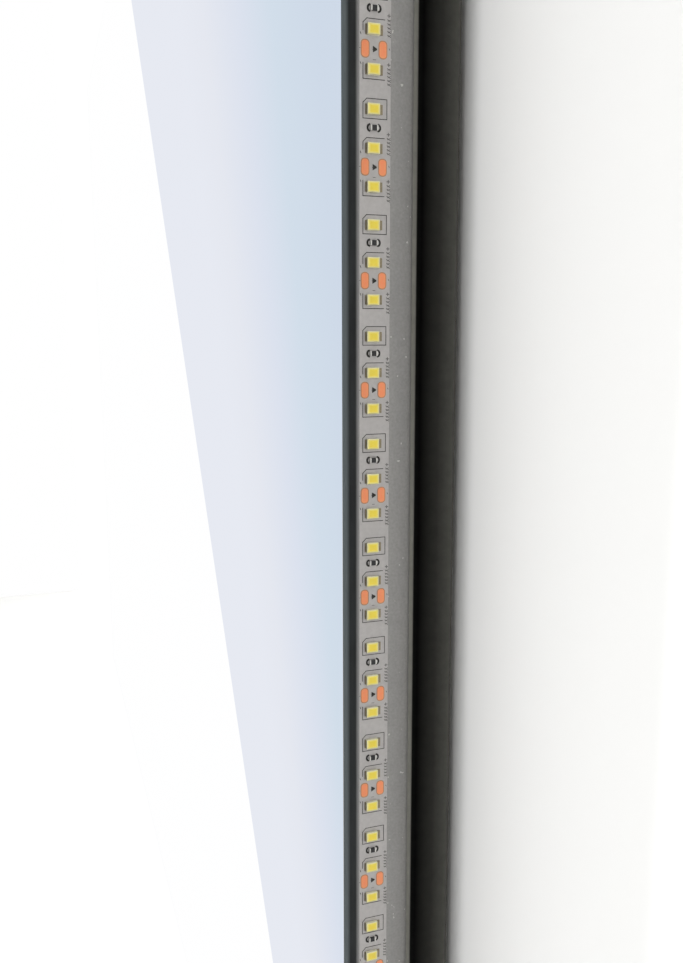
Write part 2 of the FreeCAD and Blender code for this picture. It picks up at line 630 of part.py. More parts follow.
def make_corner_keys():
    """Flat steel angles that lie on the inside of the rear flanges at the four corners."""
    sheet_front = frame_rear - size("FrameWall") - size("KeySheet")
    near, width, leg = size("KeyInset"), size("KeyWidth"), size("KeyLeg")
    holes = corner_screw_solids(lambda seat: prism(seat, (0, -1, 0), size("ScrewRadius"),
                                                   size("FrameDepth"), HEX))
    keys = []
    for x_sign in (-1, 1):
        for z_sign in (-1, 1):
            outline = ((near, near), (near + leg, near), (near + leg, near + width),
                       (near + width, near + width), (near + width, near + leg), (near, near + leg))
            corners = [Vector(x_sign * (half_width - u), sheet_front,
                              middle_z + z_sign * (half_height - w)) for u, w in outline]
            face = Part.Face(Part.makePolygon(corners + corners[:1]))
            key = face.extrude(Vector(0, size("KeySheet"), 0)).cut(holes)
            keys.append(key)
    new_shape("corner_keys", keys)


def make_corner_screws():
    """Screws through the rear flanges into the corner keys."""
    new_shape("corner_screws", corner_screw_solids(
        lambda seat: screw(seat, (0, -1, 0), size("KeyScrewLength"))))


# ---------------------------------------------------------------- LED strips

def make_strip(side):
    """Flexible board of one side."""
    body = new_body(f"led_strip_{side.name}")
    sketch = new_sketch(body, f"Board_{side.name}", "XY_Plane")
    reach = f"{side.units} * Sizes.UnitLength / 2"
    front = f"({FRAME_FRONT} + Sizes.StripSetback)"
    draw_rectangle(sketch, f"-{reach}", reach, front, f"{front} + Sizes.BoardWidth")
    pad(body, sketch, f"BoardSheet_{side.name}", "Sizes.BoardThickness", backwards=True)
    place_on_side(body, side)


def make_chips(side):
    """Three LEDs and one resistor in every unit of a strip."""
    unit = size("UnitLength")
    top = -size("BoardThickness")
    chips, resistors = [], []
    half_x, half_y = size("ChipAlong") / 2, size("ChipAcross") / 2
    part_x, part_y = size("ResistorAlong") / 2, size("ResistorAcross") / 2
    for index in range(side.unit_count):
        start = side.strip_half - index * unit
        for third in range(3):
            x = start - (third + 0.5) * unit / 3
            chips.append(box((x - half_x, strip_y - half_y, top - size("ChipHeight")),
                             (x + half_x, strip_y + half_y, top)))
        x = start - 2 * unit / 3
        resistors.append(box((x - part_x, strip_y - part_y, top - size("ResistorHeight")),
                             (x + part_x, strip_y + part_y, top)))
    new_shape(f"led_chips_{side.name}", chips, side.placement)
    new_shape(f"led_resistors_{side.name}", resistors, side.placement)


def make_jumpers():
    """Pairs of wires from the end of each strip round the corner to the next one."""
    radius = size("SupplyRadius")
    stand = size("BoardThickness") + radius
    bend = stand + radius
    overlap = 2 * radius
    wires = []
    for this, following in zip(SIDES, SIDES[1:]):
        corner_x = -(this.half_length + stand)
        end_x = -this.strip_half + overlap
        start_x = following.strip_half - overlap
        for sign in (-1, 1):
            y = strip_y + sign * size("PadOffset")
            points = (this.placement.multVec(Vector(end_x, y, -stand)),
                      this.placement.multVec(Vector(corner_x, y, -stand)),
                      following.placement.multVec(Vector(start_x, y, -stand)))
            wires.append(lead(points, radius, bend))
    new_shape("strip_jumpers", wires)


# ---------------------------------------------------------------- back pan

def make_pan():
    """Sheet tray behind the frame, with the rail window, vents and every hole it needs."""
    body = new_body("back_pan")
    outline = new_sketch(body, "PanOutline", "XZ_Plane", "Sizes.WallGap")
    sides = (f"-{PAN_HALF_X}", PAN_HALF_X, f"{MIDDLE_Z} - {PAN_HALF_Z}", f"{MIDDLE_Z} + {PAN_HALF_Z}")
    draw_rectangle(outline, *sides)
    depth = f"-{FRAME_REAR} - Sizes.PanMouthGap - Sizes.WallGap"
    block = pad(body, outline, "PanBlock", depth)
    upright = edges_where(block, lambda edge: is_along(edge, Vector(0, 1, 0)))
    rounded = dress(body, "Fillet", "PanCorners", block, upright, "Sizes.PanCorner")
    rear = -size("WallGap")
    rims = edges_where(rounded, lambda edge: edge.BoundBox.YMin > rear - 1e-6)
    dress(body, "Fillet", "PanBends", rounded, rims, "Sizes.PanBend")
    inside = new_sketch(body, "PanInside", "XZ_Plane", PLATE_FRONT)
    draw_rectangle(inside, f"{sides[0]} + Sizes.PanSheet", f"{sides[1]} - Sizes.PanSheet",
                   f"{sides[2]} + Sizes.PanSheet", f"{sides[3]} - Sizes.PanSheet")
    pocket(body, inside, "PanHollow", "Sizes.OverallDepth", backwards=True)

    window = new_sketch(body, "RailWindow", "XZ_Plane")
    low = "-(Sizes.RailHeight / 2 + Sizes.LiftTravel + Sizes.WindowPlay)"
    draw_rectangle(window, "-Sizes.WindowWidth / 2", "Sizes.WindowWidth / 2", low, "Sizes.WindowTop")
    cut = pocket(body, window, "WindowCut")
    top = size("WindowTop")
    bottom = -(size("RailHeight") / 2 + size("LiftTravel") + size("WindowPlay"))

    def at_window_corner(edge):
        """Test for the window's four short corner edges."""
        box_ = edge.BoundBox
        return (is_along(edge, Vector(0, 1, 0)) and abs(abs(box_.XMin) - size("WindowWidth") / 2) < 1e-6
                and (abs(box_.ZMin - top) < 1e-6 or abs(box_.ZMin - bottom) < 1e-6))

    dress(body, "Fillet", "WindowCorners", cut, edges_where(cut, at_window_corner), "Sizes.WindowCorner")

    vents = new_sketch(body, "VentSlots", "XZ_Plane")
    for sign in ("", "-"):
        draw_vent(vents, f"{sign}Sizes.VentSpread", "-Sizes.VentBase", "Sizes.VentLength",
                  "Sizes.VentRadius")
    row = pocket(body, vents, "VentCut")
    pattern = body.newObject("PartDesign::LinearPattern", "VentRows")
    pattern.Originals = [row]
    pattern.Direction = (vents, ["V_Axis"])
    pattern.setExpression("Length", "Sizes.VentPitch * (Sizes.VentCount - 1)")
    pattern.setExpression("Occurrences", "Sizes.VentCount")
    body.Tip = pattern
    doc.recompute()

    holes = new_sketch(body, "PlateHoles", "XZ_Plane")
    for sign in ("", "-"):
        for other in ("+", "-"):
            x = f"{sign}Sizes.HookSpacing / 2 {other} Sizes.RivetSpread"
            draw_flats(holes, x, "Sizes.RivetRise", "Sizes.RivetRadius", RIVET_FLATS)
    for x, z in PLATE_SCREWS:
        draw_flats(holes, x, z, "Sizes.ScrewRadius", HEX)
    draw_flats(holes, "Sizes.InletX", "-Sizes.GearDrop", "Sizes.InletHole", INLET_FLATS)
    pocket(body, holes, "PlateDrill")

    flanks = new_sketch(body, "FlankHoles", "YZ_Plane")
    for place in RISE:
        draw_flats(flanks, RIB_SCREW_Y, f"{MIDDLE_Z} + {place}", SCREW_HOLE, HEX, first=90)
    pocket(body, flanks, "FlankDrill")
    ends = new_sketch(body, "EndHoles", "XY_Plane", MIDDLE_Z)
    for place in SPREAD:
        draw_flats(ends, place, RIB_SCREW_Y, SCREW_HOLE, HEX)
    pocket(body, ends, "EndDrill")


def make_pan_screws():
    """Screws through the pan's side walls into the frame's rib."""
    screws = []
    for side in SIDES:
        for x in side.screw_places:
            item = screw((x, rib_screw_y, size("PanInset")), (0, 0, 1), size("PanScrewLength"))
            item.Placement = side.placement
            screws.append(item)
    new_shape("pan_screws", screws)


def make_bumpers():
    """Rubber discs that keep the pan off the wall."""
    x = half_width - size("PanInset") - size("BumperInsetX")
    reach = half_height - size("PanInset") - size("BumperInsetZ")
    discs = []
    for x_sign in (-1, 1):
        for z_sign in (-1, 1):
            start = (x_sign * x, -size("WallGap"), middle_z + z_sign * reach)
            discs.append(prism(start, (0, 1, 0), size("BumperRadius"), size("WallGap"), INLET_FLATS))
    new_shape("wall_bumpers", discs)


# ---------------------------------------------------------------- rail and hooks

def make_rail():
    """J-section rail screwed to the wall; its trough carries the mirror's hooks."""
    body = new_body("wall_rail")
    profile = new_sketch(body, "RailProfile", "YZ_Plane")
    half = "Sizes.RailHeight / 2"
    lip_rear = "-(Sizes.RailSheet + Sizes.RailTrough)"
    lip_front = "-(2 * Sizes.RailSheet + Sizes.RailTrough)"
    lip_top = f"-{half} + Sizes.RailLip"
    draw_polygon(profile, (
        ("0", half),
        ("0", f"-{half}"),
        (lip_front, f"-{half}"),
        (lip_front, lip_top),
        (lip_rear, lip_top),
        (lip_rear, TROUGH_FLOOR),
        ("-Sizes.RailSheet", TROUGH_FLOOR),
        ("-Sizes.RailSheet", half),
    ))
    pad(body, profile, "RailBar", "Sizes.RailLength", symmetric=True)
    slots = new_sketch(body, "RailSlots", "XZ_Plane")
    for sign in ("", "-"):
        draw_slot(slots, f"{sign}Sizes.SlotSpacing / 2", "Sizes.SlotRise", "Sizes.SlotLength",
                  "Sizes.SlotRadius")
    pocket(body, slots, "SlotCut", "Sizes.RailSheet + Sizes.RailTrough / 2", backwards=True)


def make_hook(name, sign):
    """Steel plate riveted inside the pan; its lower edge drops into the rail's trough."""
    body = new_body(f"hanger_hook_{name}")
    sketch = new_sketch(body, f"HookOutline_{name}", "XZ_Plane", PLATE_FRONT)
    middle = f"{sign}Sizes.HookSpacing / 2"
    draw_rectangle(sketch, f"{middle} - Sizes.HookWidth / 2", f"{middle} + Sizes.HookWidth / 2",
                   f"{TROUGH_FLOOR} + Sizes.HookSeatGap", "Sizes.HookTop")
    plate = pad(body, sketch, f"HookPlate_{name}", "Sizes.HookPlate")
    top = size("HookTop")
    high = edges_where(plate, lambda edge: is_along(edge, Vector(0, 1, 0))
                       and abs(edge.BoundBox.ZMax - top) < 1e-6)
    rounded = dress(body, "Fillet", f"HookCorners_{name}", plate, high, "Sizes.HookCorner")
    floor = -size("RailHeight") / 2 + size("RailSheet") + size("HookSeatGap")
    low = edges_where(rounded, lambda edge: is_along(edge, Vector(1, 0, 0))
                      and abs(edge.BoundBox.ZMax - floor) < 1e-6)
    dress(body, "Chamfer", f"HookLead_{name}", rounded, low, "Sizes.HookLead")
    holes = new_sketch(body, f"HookHoles_{name}", "XZ_Plane")
    for other in ("+", "-"):
        draw_flats(holes, f"{middle} {other} Sizes.RivetSpread", "Sizes.RivetRise",
                   "Sizes.RivetRadius", RIVET_FLATS)
    pocket(body, holes, f"HookDrill_{name}")


def make_rivets():
    """Rivets through the hooks and the pan, closed flat behind."""
    rivets = []
    grip = size("PanSheet") + size("HookPlate")
    seat_y = -(plate_front + size("HookPlate"))
    z = size("RivetRise")
    for x_sign in (-1, 1):
        for step in (-1, 1):
            x = x_sign * size("HookSpacing") / 2 + step * size("RivetSpread")
            head = prism((x, seat_y, z), (0, -1, 0), size("RivetHead"), size("RivetHeadHeight"), RIVET_FLATS)
            shank = prism((x, seat_y, z), (0, 1, 0), size("RivetRadius"), grip, RIVET_FLATS)
            tail = prism((x, -size("WallGap"), z), (0, 1, 0), size("RivetTail"), size("WallGap") / 2,
                         RIVET_FLATS)
            rivets.append(head.fuse([shank, tail]))
    new_shape("hanger_rivets", rivets)


# ---------------------------------------------------------------- driver

def make_driver_case():
    """Plastic tray with board posts, lead holes and a mounting ear at each end."""
    body = new_body("driver_case")
    x0 = "(Sizes.DriverX - Sizes.DriverLength / 2)"
    x1 = "(Sizes.DriverX + Sizes.DriverLength / 2)"
    z0 = "(-Sizes.GearDrop - Sizes.DriverWidth / 2)"
    z1 = "(-Sizes.GearDrop + Sizes.DriverWidth / 2)"
    base = new_sketch(body, "EarOutline", "XZ_Plane", PLATE_FRONT)
    draw_rectangle(base, f"{x0} - Sizes.DriverEar", f"{x1} + Sizes.DriverEar", z0, z1)
    pad(body, base, "Ears", "Sizes.GearWall")
    outline = new_sketch(body, "CaseOutline", "XZ_Plane", PLATE_FRONT)
    draw_rectangle(outline, x0, x1, z0, z1)
    pad(body, outline, "CaseBlock", "Sizes.DriverHeight")
    floor = f"({PLATE_FRONT} + Sizes.GearWall)"
    inside = new_sketch(body, "CaseInside", "XZ_Plane", floor)
    draw_rectangle(inside, f"{x0} + Sizes.GearWall", f"{x1} - Sizes.GearWall",
                   f"{z0} + Sizes.GearWall", f"{z1} - Sizes.GearWall")
    pocket(body, inside, "CaseHollow", "Sizes.OverallDepth", backwards=True)
    posts = new_sketch(body, "PostOutline", "XZ_Plane", floor)
    post_x = "(Sizes.DriverLength / 2 - Sizes.GearWall - Sizes.BoardMargin - 2 * Sizes.PostRadius)"
    post_z = "(Sizes.DriverWidth / 2 - Sizes.GearWall - Sizes.BoardMargin - 2 * Sizes.PostRadius)"
    for x_sign in ("+", "-"):
        for z_sign in ("+", "-"):
            draw_flats(posts, f"Sizes.DriverX {x_sign} {post_x}", f"-Sizes.GearDrop {z_sign} {post_z}",
                       "Sizes.PostRadius", RIVET_FLATS)
    pad(body, posts, "Posts", "Sizes.PostHeight")
    ears = new_sketch(body, "EarHoles", "XZ_Plane")
    for sign in ("+", "-"):
        draw_flats(ears, f"Sizes.DriverX {sign} {EAR_X}", "-Sizes.GearDrop", SCREW_HOLE, HEX)
    pocket(body, ears, "EarDrill")
    leads = new_sketch(body, "CaseLeadHoles", "YZ_Plane")
    draw_opening(leads, "-Sizes.GearDrop", "Sizes.LeadHole")
    pocket(body, leads, "CaseLeadDrill")


def draw_opening(sketch, up, half):
    """Draw a square opening at the inner leads' level in a housing's end wall."""
    draw_rectangle(sketch, f"-Sizes.LeadLevel - {half}", f"-Sizes.LeadLevel + {half}",
                   f"{up} - {half}", f"{up} + {half}")


def make_lid(label, name, middle_x, length, width, height):
    """Flat lid with a locating rim that drops into its case."""
    body = new_body(label)
    x0, x1 = f"({middle_x} - {length} / 2)", f"({middle_x} + {length} / 2)"
    z0, z1 = f"(-Sizes.GearDrop - {width} / 2)", f"(-Sizes.GearDrop + {width} / 2)"
    mouth = f"({PLATE_FRONT} + {height})"
    plate = new_sketch(body, f"LidOutline_{name}", "XZ_Plane", mouth)
    draw_rectangle(plate, x0, x1, z0, z1)
    pad(body, plate, f"LidPlate_{name}", "Sizes.GearWall")
    rim = new_sketch(body, f"LidRim_{name}", "XZ_Plane", f"{mouth} - Sizes.LidPlug")
    outer = "(Sizes.GearWall + Sizes.LidFit)"
    inner = "(2 * Sizes.GearWall + Sizes.LidFit)"
    for inset in (outer, inner):
        draw_rectangle(rim, f"{x0} + {inset}", f"{x1} - {inset}", f"{z0} + {inset}", f"{z1} - {inset}")
    pad(body, rim, f"LidPlug_{name}", "Sizes.LidPlug")


def make_driver_inside():
    """Driver board on its posts, with connectors, transformer, capacitors and choke."""
    x, z = size("DriverX"), gear_z
    half_x = size("DriverLength") / 2 - size("GearWall") - size("BoardMargin")
    half_z = size("DriverWidth") / 2 - size("GearWall") - size("BoardMargin")
    rear = -(plate_front + size("GearWall") + size("PostHeight"))
    face = rear - size("DriverBoard")
    board = box((x - half_x, face, z - half_z), (x + half_x, rear, z + half_z))
    new_shape("driver_board", [board])
    depth, half_c = size("ConnectorDepth"), size("ConnectorWidth") / 2
    high = 2 * (size("LeadLevel") + face)
    connectors = [box((x + end - depth * (end > 0), face - high, z - half_c),
                      (x + end + depth * (end < 0), face, z + half_c)) for end in (-half_x, half_x)]
    half_t = size("TransformerLength") / 2
    core = box((x - half_t, face - size("TransformerHeight"), z - half_t), (x + half_t, face, z + half_t))
    cans = []
    for place, radius in ((x - size("BulkPlace"), size("BulkRadius")),
                          (x + size("OutputPlace"), size("OutputRadius"))):
        for step in (-1, 1):
            foot = (place, face, z + step * size("CapacitorSpread"))
            cans.append(prism(foot, (0, -1, 0), radius, size("CapacitorHeight"), RIVET_FLATS))
    foot = (x - size("ChokePlace"), face, z)
    choke = prism(foot, (0, -1, 0), size("ChokeOuter"), size("ChokeHeight"), RIVET_FLATS)
    hollow = prism(foot, (0, -1, 0), size("ChokeInner"), size("ChokeHeight"), RIVET_FLATS)
    new_shape("driver_parts", connectors + [core] + cans + [choke.cut(hollow)])


def make_plate_screws():
    """Screws of the driver, the terminal box and the earth tag, through the pan's back."""
    seat = -(plate_front + size("GearWall"))
    length = size("PlateScrewLength")
    x, z = size("DriverX"), gear_z
    new_shape("driver_screws", [screw((x + sign * ear_x, seat, z), (0, 1, 0), length)
                                for sign in (-1, 1)])
    x = size("BoxX") + box_screw_x
    new_shape("terminal_box_screws", [screw((x, seat, z + sign * box_screw_z), (0, 1, 0), length)
                                      for sign in (-1, 1)])
    seat = -(plate_front + size("TagSheet"))
    new_shape("earth_screw", [screw((size("EarthX"), seat, z - size("BlockPitch")), (0, 1, 0),
                                    length - size("GearWall") + size("TagSheet"))])


# ---------------------------------------------------------------- terminal box

def make_terminal_box():
    """Plastic box over the mains inlet, with lead holes in both ends."""
    body = new_body("terminal_box")
    x0, x1 = "(Sizes.BoxX - Sizes.BoxLength / 2)", "(Sizes.BoxX + Sizes.BoxLength / 2)"
    z0, z1 = "(-Sizes.GearDrop - Sizes.BoxWidth / 2)", "(-Sizes.GearDrop + Sizes.BoxWidth / 2)"
    outline = new_sketch(body, "BoxOutline", "XZ_Plane", PLATE_FRONT)
    draw_rectangle(outline, x0, x1, z0, z1)
    pad(body, outline, "BoxBlock", "Sizes.BoxHeight")
    inside = new_sketch(body, "BoxInside", "XZ_Plane", f"({PLATE_FRONT} + Sizes.GearWall)")
    draw_rectangle(inside, f"{x0} + Sizes.GearWall", f"{x1} - Sizes.GearWall",
                   f"{z0} + Sizes.GearWall", f"{z1} - Sizes.GearWall")
    pocket(body, inside, "BoxHollow", "Sizes.OverallDepth", backwards=True)
    floor = new_sketch(body, "BoxFloorHoles", "XZ_Plane")
    draw_flats(floor, "Sizes.InletX", "-Sizes.GearDrop", "Sizes.InletHole", INLET_FLATS)
    for sign in ("+", "-"):
        draw_flats(floor, f"Sizes.BoxX + {BOX_SCREW_X}", f"-Sizes.GearDrop {sign} {BOX_SCREW_Z}",
                   SCREW_HOLE, HEX)
    pocket(body, floor, "BoxFloorDrill")
    right = new_sketch(body, "BoxLeadHole", "YZ_Plane", "Sizes.BoxX")
    draw_opening(right, "-Sizes.GearDrop", "Sizes.LeadHole")
    pocket(body, right, "BoxLeadDrill", "Sizes.BoxLength", backwards=True)
    left = new_sketch(body, "BoxEarthHole", "YZ_Plane", "Sizes.BoxX")
    draw_opening(left, "-Sizes.GearDrop - Sizes.BlockPitch", "Sizes.EarthHole")
    pocket(body, left, "BoxEarthDrill", "Sizes.BoxLength")


def make_terminal_block():
    """Three-pole block on the box's floor and its clamp screws."""
    x, z = size("BoxX"), gear_z
    floor = -(plate_front + size("GearWall"))
    half_x, pitch = size("BlockDepth") / 2, size("BlockPitch")
    half_z = len(POLES) * pitch / 2
    top = floor - size("BlockHeight")
    block = box((x - half_x, top, z - half_z), (x + half_x, floor, z + half_z))
    radius, slot = size("BlockScrew"), size("BlockSlot")
    recess, head_height = size("BlockRecess"), size("BlockScrewHead")
    seat = top + recess
    screws = []
    for step in POLES:
        place = z + step * pitch
        block = block.cut(prism((x, top, place), (0, 1, 0), radius + size("ScrewPlay"), recess, RIVET_FLATS))
        head = prism((x, seat, place), (0, -1, 0), radius, head_height, RIVET_FLATS)
        cut = box((x - radius, seat - head_height, place - slot / 2),
                  (x + radius, seat - head_height + slot, place + slot / 2))
        screws.append(head.cut(cut))
    new_shape("terminal_block", [block])
    new_shape("terminal_screws", screws)


def make_grommet(label, start, direction, rubber, flats):
    """Rubber grommet: two flanges with a groove between them and a bore through all."""
    bore, groove, flange, lip, wall = rubber
    ahead, seat = Vector(*direction), Vector(*start)
    near = prism(start, direction, flange, lip, flats)
    neck = prism(tuple(seat + ahead * lip), direction, groove, wall, flats)
    far = prism(tuple(seat + ahead * (lip + wall)), direction, flange, lip, flats)
    whole = near.fuse([neck, far])
    if flats == INLET_FLATS:
        return new_shape(label, [whole.cut(rod(start, direction, bore, 2 * lip + wall))])
    return new_shape(label, [whole.cut(prism(start, direction, bore, 2 * lip + wall, flats))])


def make_grommets():
    """Grommet of the mains inlet and grommet of the 12 V leads in the frame."""
    make_grommet("inlet_grommet", (size("InletX"), -size("WallGap") + size("GrommetLip"), gear_z),
                 (0, -1, 0), (size("InletBore"), size("InletHole"), size("GrommetFlange"),
                              size("GrommetLip"), size("PanSheet") + size("GearWall")), INLET_FLATS)
    start = RIGHT.placement.multVec(Vector(RIGHT.strip_half + size("OutletRun"), strip_y,
                                           -size("OutletLip")))
    make_grommet("lead_grommet", tuple(start), (-1, 0, 0),
                 (size("OutletBore"), size("OutletHole"), size("OutletFlange"), size("OutletLip"),
                  size("FrameWall")), OUTLET_FLATS)


# ---------------------------------------------------------------- inner leads

def make_mains_leads():
    """Two leads from the terminal block to the driver."""
    level, z, run = -size("LeadLevel"), gear_z, size("LeadRun")
    start = size("BoxX") + size("BlockDepth") / 2
    wall = size("BoxX") + size("BoxLength") / 2
    case = size("DriverX") - size("DriverLength") / 2
    end = case + size("GearWall") + size("BoardMargin")
    leads = []
    for pole, sign in ((size("BlockPitch"), 1), (0.0, -1)):
        entry, inner = z + pole, z + sign * size("MainsSpread")
        points = ((start, level, entry), (start + run, level, entry), (wall - run, level, inner),
                  ((wall + case) / 2, level, inner - size("MainsSag")),
                  (case - run, level, inner), (end, level, inner))
        leads.append(lead(points, size("MainsRadius"), run))
    new_shape("mains_leads", leads)


def make_earth():
    """Earth lead from the block to its tag on the pan."""
    z, radius, sheet_ = gear_z - size("BlockPitch"), size("MainsRadius"), size("TagSheet")
    start = size("BoxX") - size("BlockDepth") / 2
    wall = size("BoxX") - size("BoxLength") / 2
    low = -(plate_front + radius + sheet_)
    crimp_end = wall - size("CrimpGap")
    level = -size("LeadLevel")
    points = ((start, level, z), (wall - size("EarthHole"), level, z),
              (crimp_end + size("EarthHole"), low, z), (crimp_end - size("CrimpGrip"), low, z))
    new_shape("earth_lead", [lead(points, radius, size("LeadRun"))])
    centre = (size("EarthX"), -plate_front, z)
    plate = prism(centre, (0, -1, 0), size("TagRadius"), sheet_, OUTLET_FLATS)
    neck = box((size("EarthX"), -plate_front - sheet_, z - radius), (crimp_end, -plate_front, z + radius))
    crimp = prism((crimp_end - size("CrimpLength"), low, z), (1, 0, 0), radius + sheet_,
                  size("CrimpLength"), OUTLET_FLATS)
    socket = prism((crimp_end - size("CrimpGrip"), low, z), (1, 0, 0), radius + size("ClipPlay"),
                   size("CrimpGrip"), OUTLET_FLATS)
    hole = prism(centre, (0, -1, 0), size("ScrewRadius"), sheet_, HEX)
    tag = plate.fuse([neck, crimp]).cut([socket, hole])
    room = box((-size("GlassWidth"), -size("OverallDepth"), -size("GlassHeight")), (0, -plate_front, 0))
    new_shape("earth_tag", [tag.common(room)])


def make_supply_leads():
    """Two 12 V leads from the driver along the pan, out through the frame and on to the strip."""
    radius, half = size("SupplyRadius"), size("SupplyPitch") / 2
    start = driver_end - size("GearWall") - size("BoardMargin")
    high, low = -size("LeadLevel"), -(plate_front + radius)
    first = driver_end + size("LeadRun")
    fall, turn = size("LeadFall"), size("LeadTurn")
    top = middle_z + RIGHT.strip_half + size("OutletRun")
    outside = half_width + size("LeadStand")
    pad_x = half_width + size("BoardThickness") + radius
    pad_z = top - size("OutletRun") - 2 * radius
    leads = []
    for sign in (-1, 1):
        level = gear_z + half * sign
        x = lead_column - half * sign
        y = strip_y - sign * size("PadOffset")
        points = ((start, high, level), (first, high, level), (first + fall, low, level),
                  (x, low, level), (x, low, top - fall - turn), (x, y, top - turn),
                  (x + turn, y, top), (outside, y, top), (outside, y, top - size("LeadDive")),
                  (pad_x, y, pad_z))
        leads.append(lead(points, radius, turn / 2))
    new_shape("supply_leads", leads)


def make_clips():
    """Saddle clips that hold the 12 V leads on the pan."""
    clips = []
    for place in (size("ClipNear"), size("ClipFar")):
        across = Placement(Vector(driver_end + place, -plate_front, gear_z), Rotation())
        upright = Placement(Vector(lead_column, -plate_front, gear_z + place),
                            Rotation(Vector(0, 1, 0), 90))
        clips += [clip_solid(across), clip_solid(upright)]
    new_shape("lead_clips", clips)


def clip_solid(placement):
    """One saddle clip; the leads run along its X."""
    half_w, half_l, high = size("ClipWidth") / 2, size("ClipLength") / 2, size("ClipHeight")
    channel = size("SupplyPitch") / 2 + size("SupplyRadius") + size("ClipPlay")
    deep = 2 * size("SupplyRadius") + size("ClipPlay")
    body = box((-half_l, -high, -half_w), (half_l, 0, half_w))
    edges = [edge for edge in body.Edges if is_along(edge, Vector(1, 0, 0))
             and edge.BoundBox.YMax < -high + 1e-6]
    body = body.makeFillet(high / 2, edges)
    body = body.cut(box((-half_l, -deep, -channel), (half_l, 0, channel)))
    body.Placement = placement
    return body


# ---------------------------------------------------------------- build

def build():
    """Make every piece."""
    make_glass()
    make_tape()
    for side in SIDES:
        make_frame_side(side)
        make_strip(side)
        make_chips(side)
    make_corner_keys()
    make_corner_screws()
    make_jumpers()
    make_pan()
    make_pan_screws()
    make_bumpers()
    make_rail()
    make_hook("left", "-")
    make_hook("right", "")
    make_rivets()
    make_driver_case()
    make_lid("driver_lid", "driver", "Sizes.DriverX", "Sizes.DriverLength", "Sizes.DriverWidth",
             "Sizes.DriverHeight")
    make_driver_inside()
    make_plate_screws()
    make_terminal_box()
    make_lid("terminal_lid", "terminal", "Sizes.BoxX", "Sizes.BoxLength", "Sizes.BoxWidth",
             "Sizes.BoxHeight")
    make_terminal_block()
    make_grommets()
    make_mains_leads()
    make_earth()
    make_supply_leads()
    make_clips()


def check_and_write():
    """Stop on any failed object or bad solid, then write one file for every piece."""
    doc.recompute()
    for item in doc.Objects:
        if "Invalid" in item.State or "Error" in item.State:
            raise RuntimeError(f"{item.Label} failed: {item.State}")
    os.makedirs("parts", exist_ok=True)
    for item in parts:
        if item.Shape.isNull() or not item.Shape.isValid():
            raise RuntimeError(f"{item.Label} has no valid shape")
    for item in parts:
        item.Shape.exportStep(f"parts/{item.Label}.step")
        print(f"{item.Label}: {len(item.Shape.Solids)} solids, {item.Shape.Volume:.1f} mm3")
    print(len(parts), "nodes")


build()
check_and_write()
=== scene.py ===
"""Looks of the backlit mirror: glass, frame, LED strips, wiring, pan, stage, light and camera.

Every length is in metres. X is the width, -Y the mirror's front, +Y the wall and +Z up.
"""

import json
import logging
import math
from dataclasses import dataclass
from enum import Enum

import bmesh
import bpy
from mathutils import Matrix, Vector

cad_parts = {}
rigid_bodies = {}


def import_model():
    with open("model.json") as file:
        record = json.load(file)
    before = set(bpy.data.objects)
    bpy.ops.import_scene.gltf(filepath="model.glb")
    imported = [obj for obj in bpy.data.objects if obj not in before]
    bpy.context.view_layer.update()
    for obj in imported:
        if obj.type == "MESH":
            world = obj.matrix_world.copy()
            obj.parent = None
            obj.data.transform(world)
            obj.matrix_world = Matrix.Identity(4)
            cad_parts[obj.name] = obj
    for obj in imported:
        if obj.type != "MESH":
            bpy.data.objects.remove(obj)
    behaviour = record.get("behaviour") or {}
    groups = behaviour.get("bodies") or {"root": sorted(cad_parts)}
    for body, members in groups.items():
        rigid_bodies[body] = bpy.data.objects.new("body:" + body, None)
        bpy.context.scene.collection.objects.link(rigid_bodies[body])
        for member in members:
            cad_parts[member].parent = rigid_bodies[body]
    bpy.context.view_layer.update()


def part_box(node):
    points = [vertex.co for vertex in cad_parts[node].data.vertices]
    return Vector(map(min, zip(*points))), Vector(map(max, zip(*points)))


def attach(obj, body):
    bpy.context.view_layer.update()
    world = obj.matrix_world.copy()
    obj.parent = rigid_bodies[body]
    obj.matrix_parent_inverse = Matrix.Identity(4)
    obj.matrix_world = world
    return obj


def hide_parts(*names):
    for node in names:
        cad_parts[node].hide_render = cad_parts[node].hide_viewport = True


LOG = logging.getLogger("backlit_mirror")
Colour = tuple[float, float, float]


def linear(red: float, green: float, blue: float) -> tuple[float, float, float, float]:
    """Turn a colour of 0 to 255 as it is seen into the linear one that a shader takes.

    Args:
        red: Red, 0 to 255.
        green: Green, 0 to 255.
        blue: Blue, 0 to 255.

    Returns:
        The linear colour with an alpha of 1.
    """
    def one(level: float) -> float:
        """Turn one channel."""
        share = level / 255
        return share / 12.92 if share <= 0.04045 else ((share + 0.055) / 1.055) ** 2.4

    return one(red), one(green), one(blue), 1.0


# ---------------------------------------------------------------- finishes

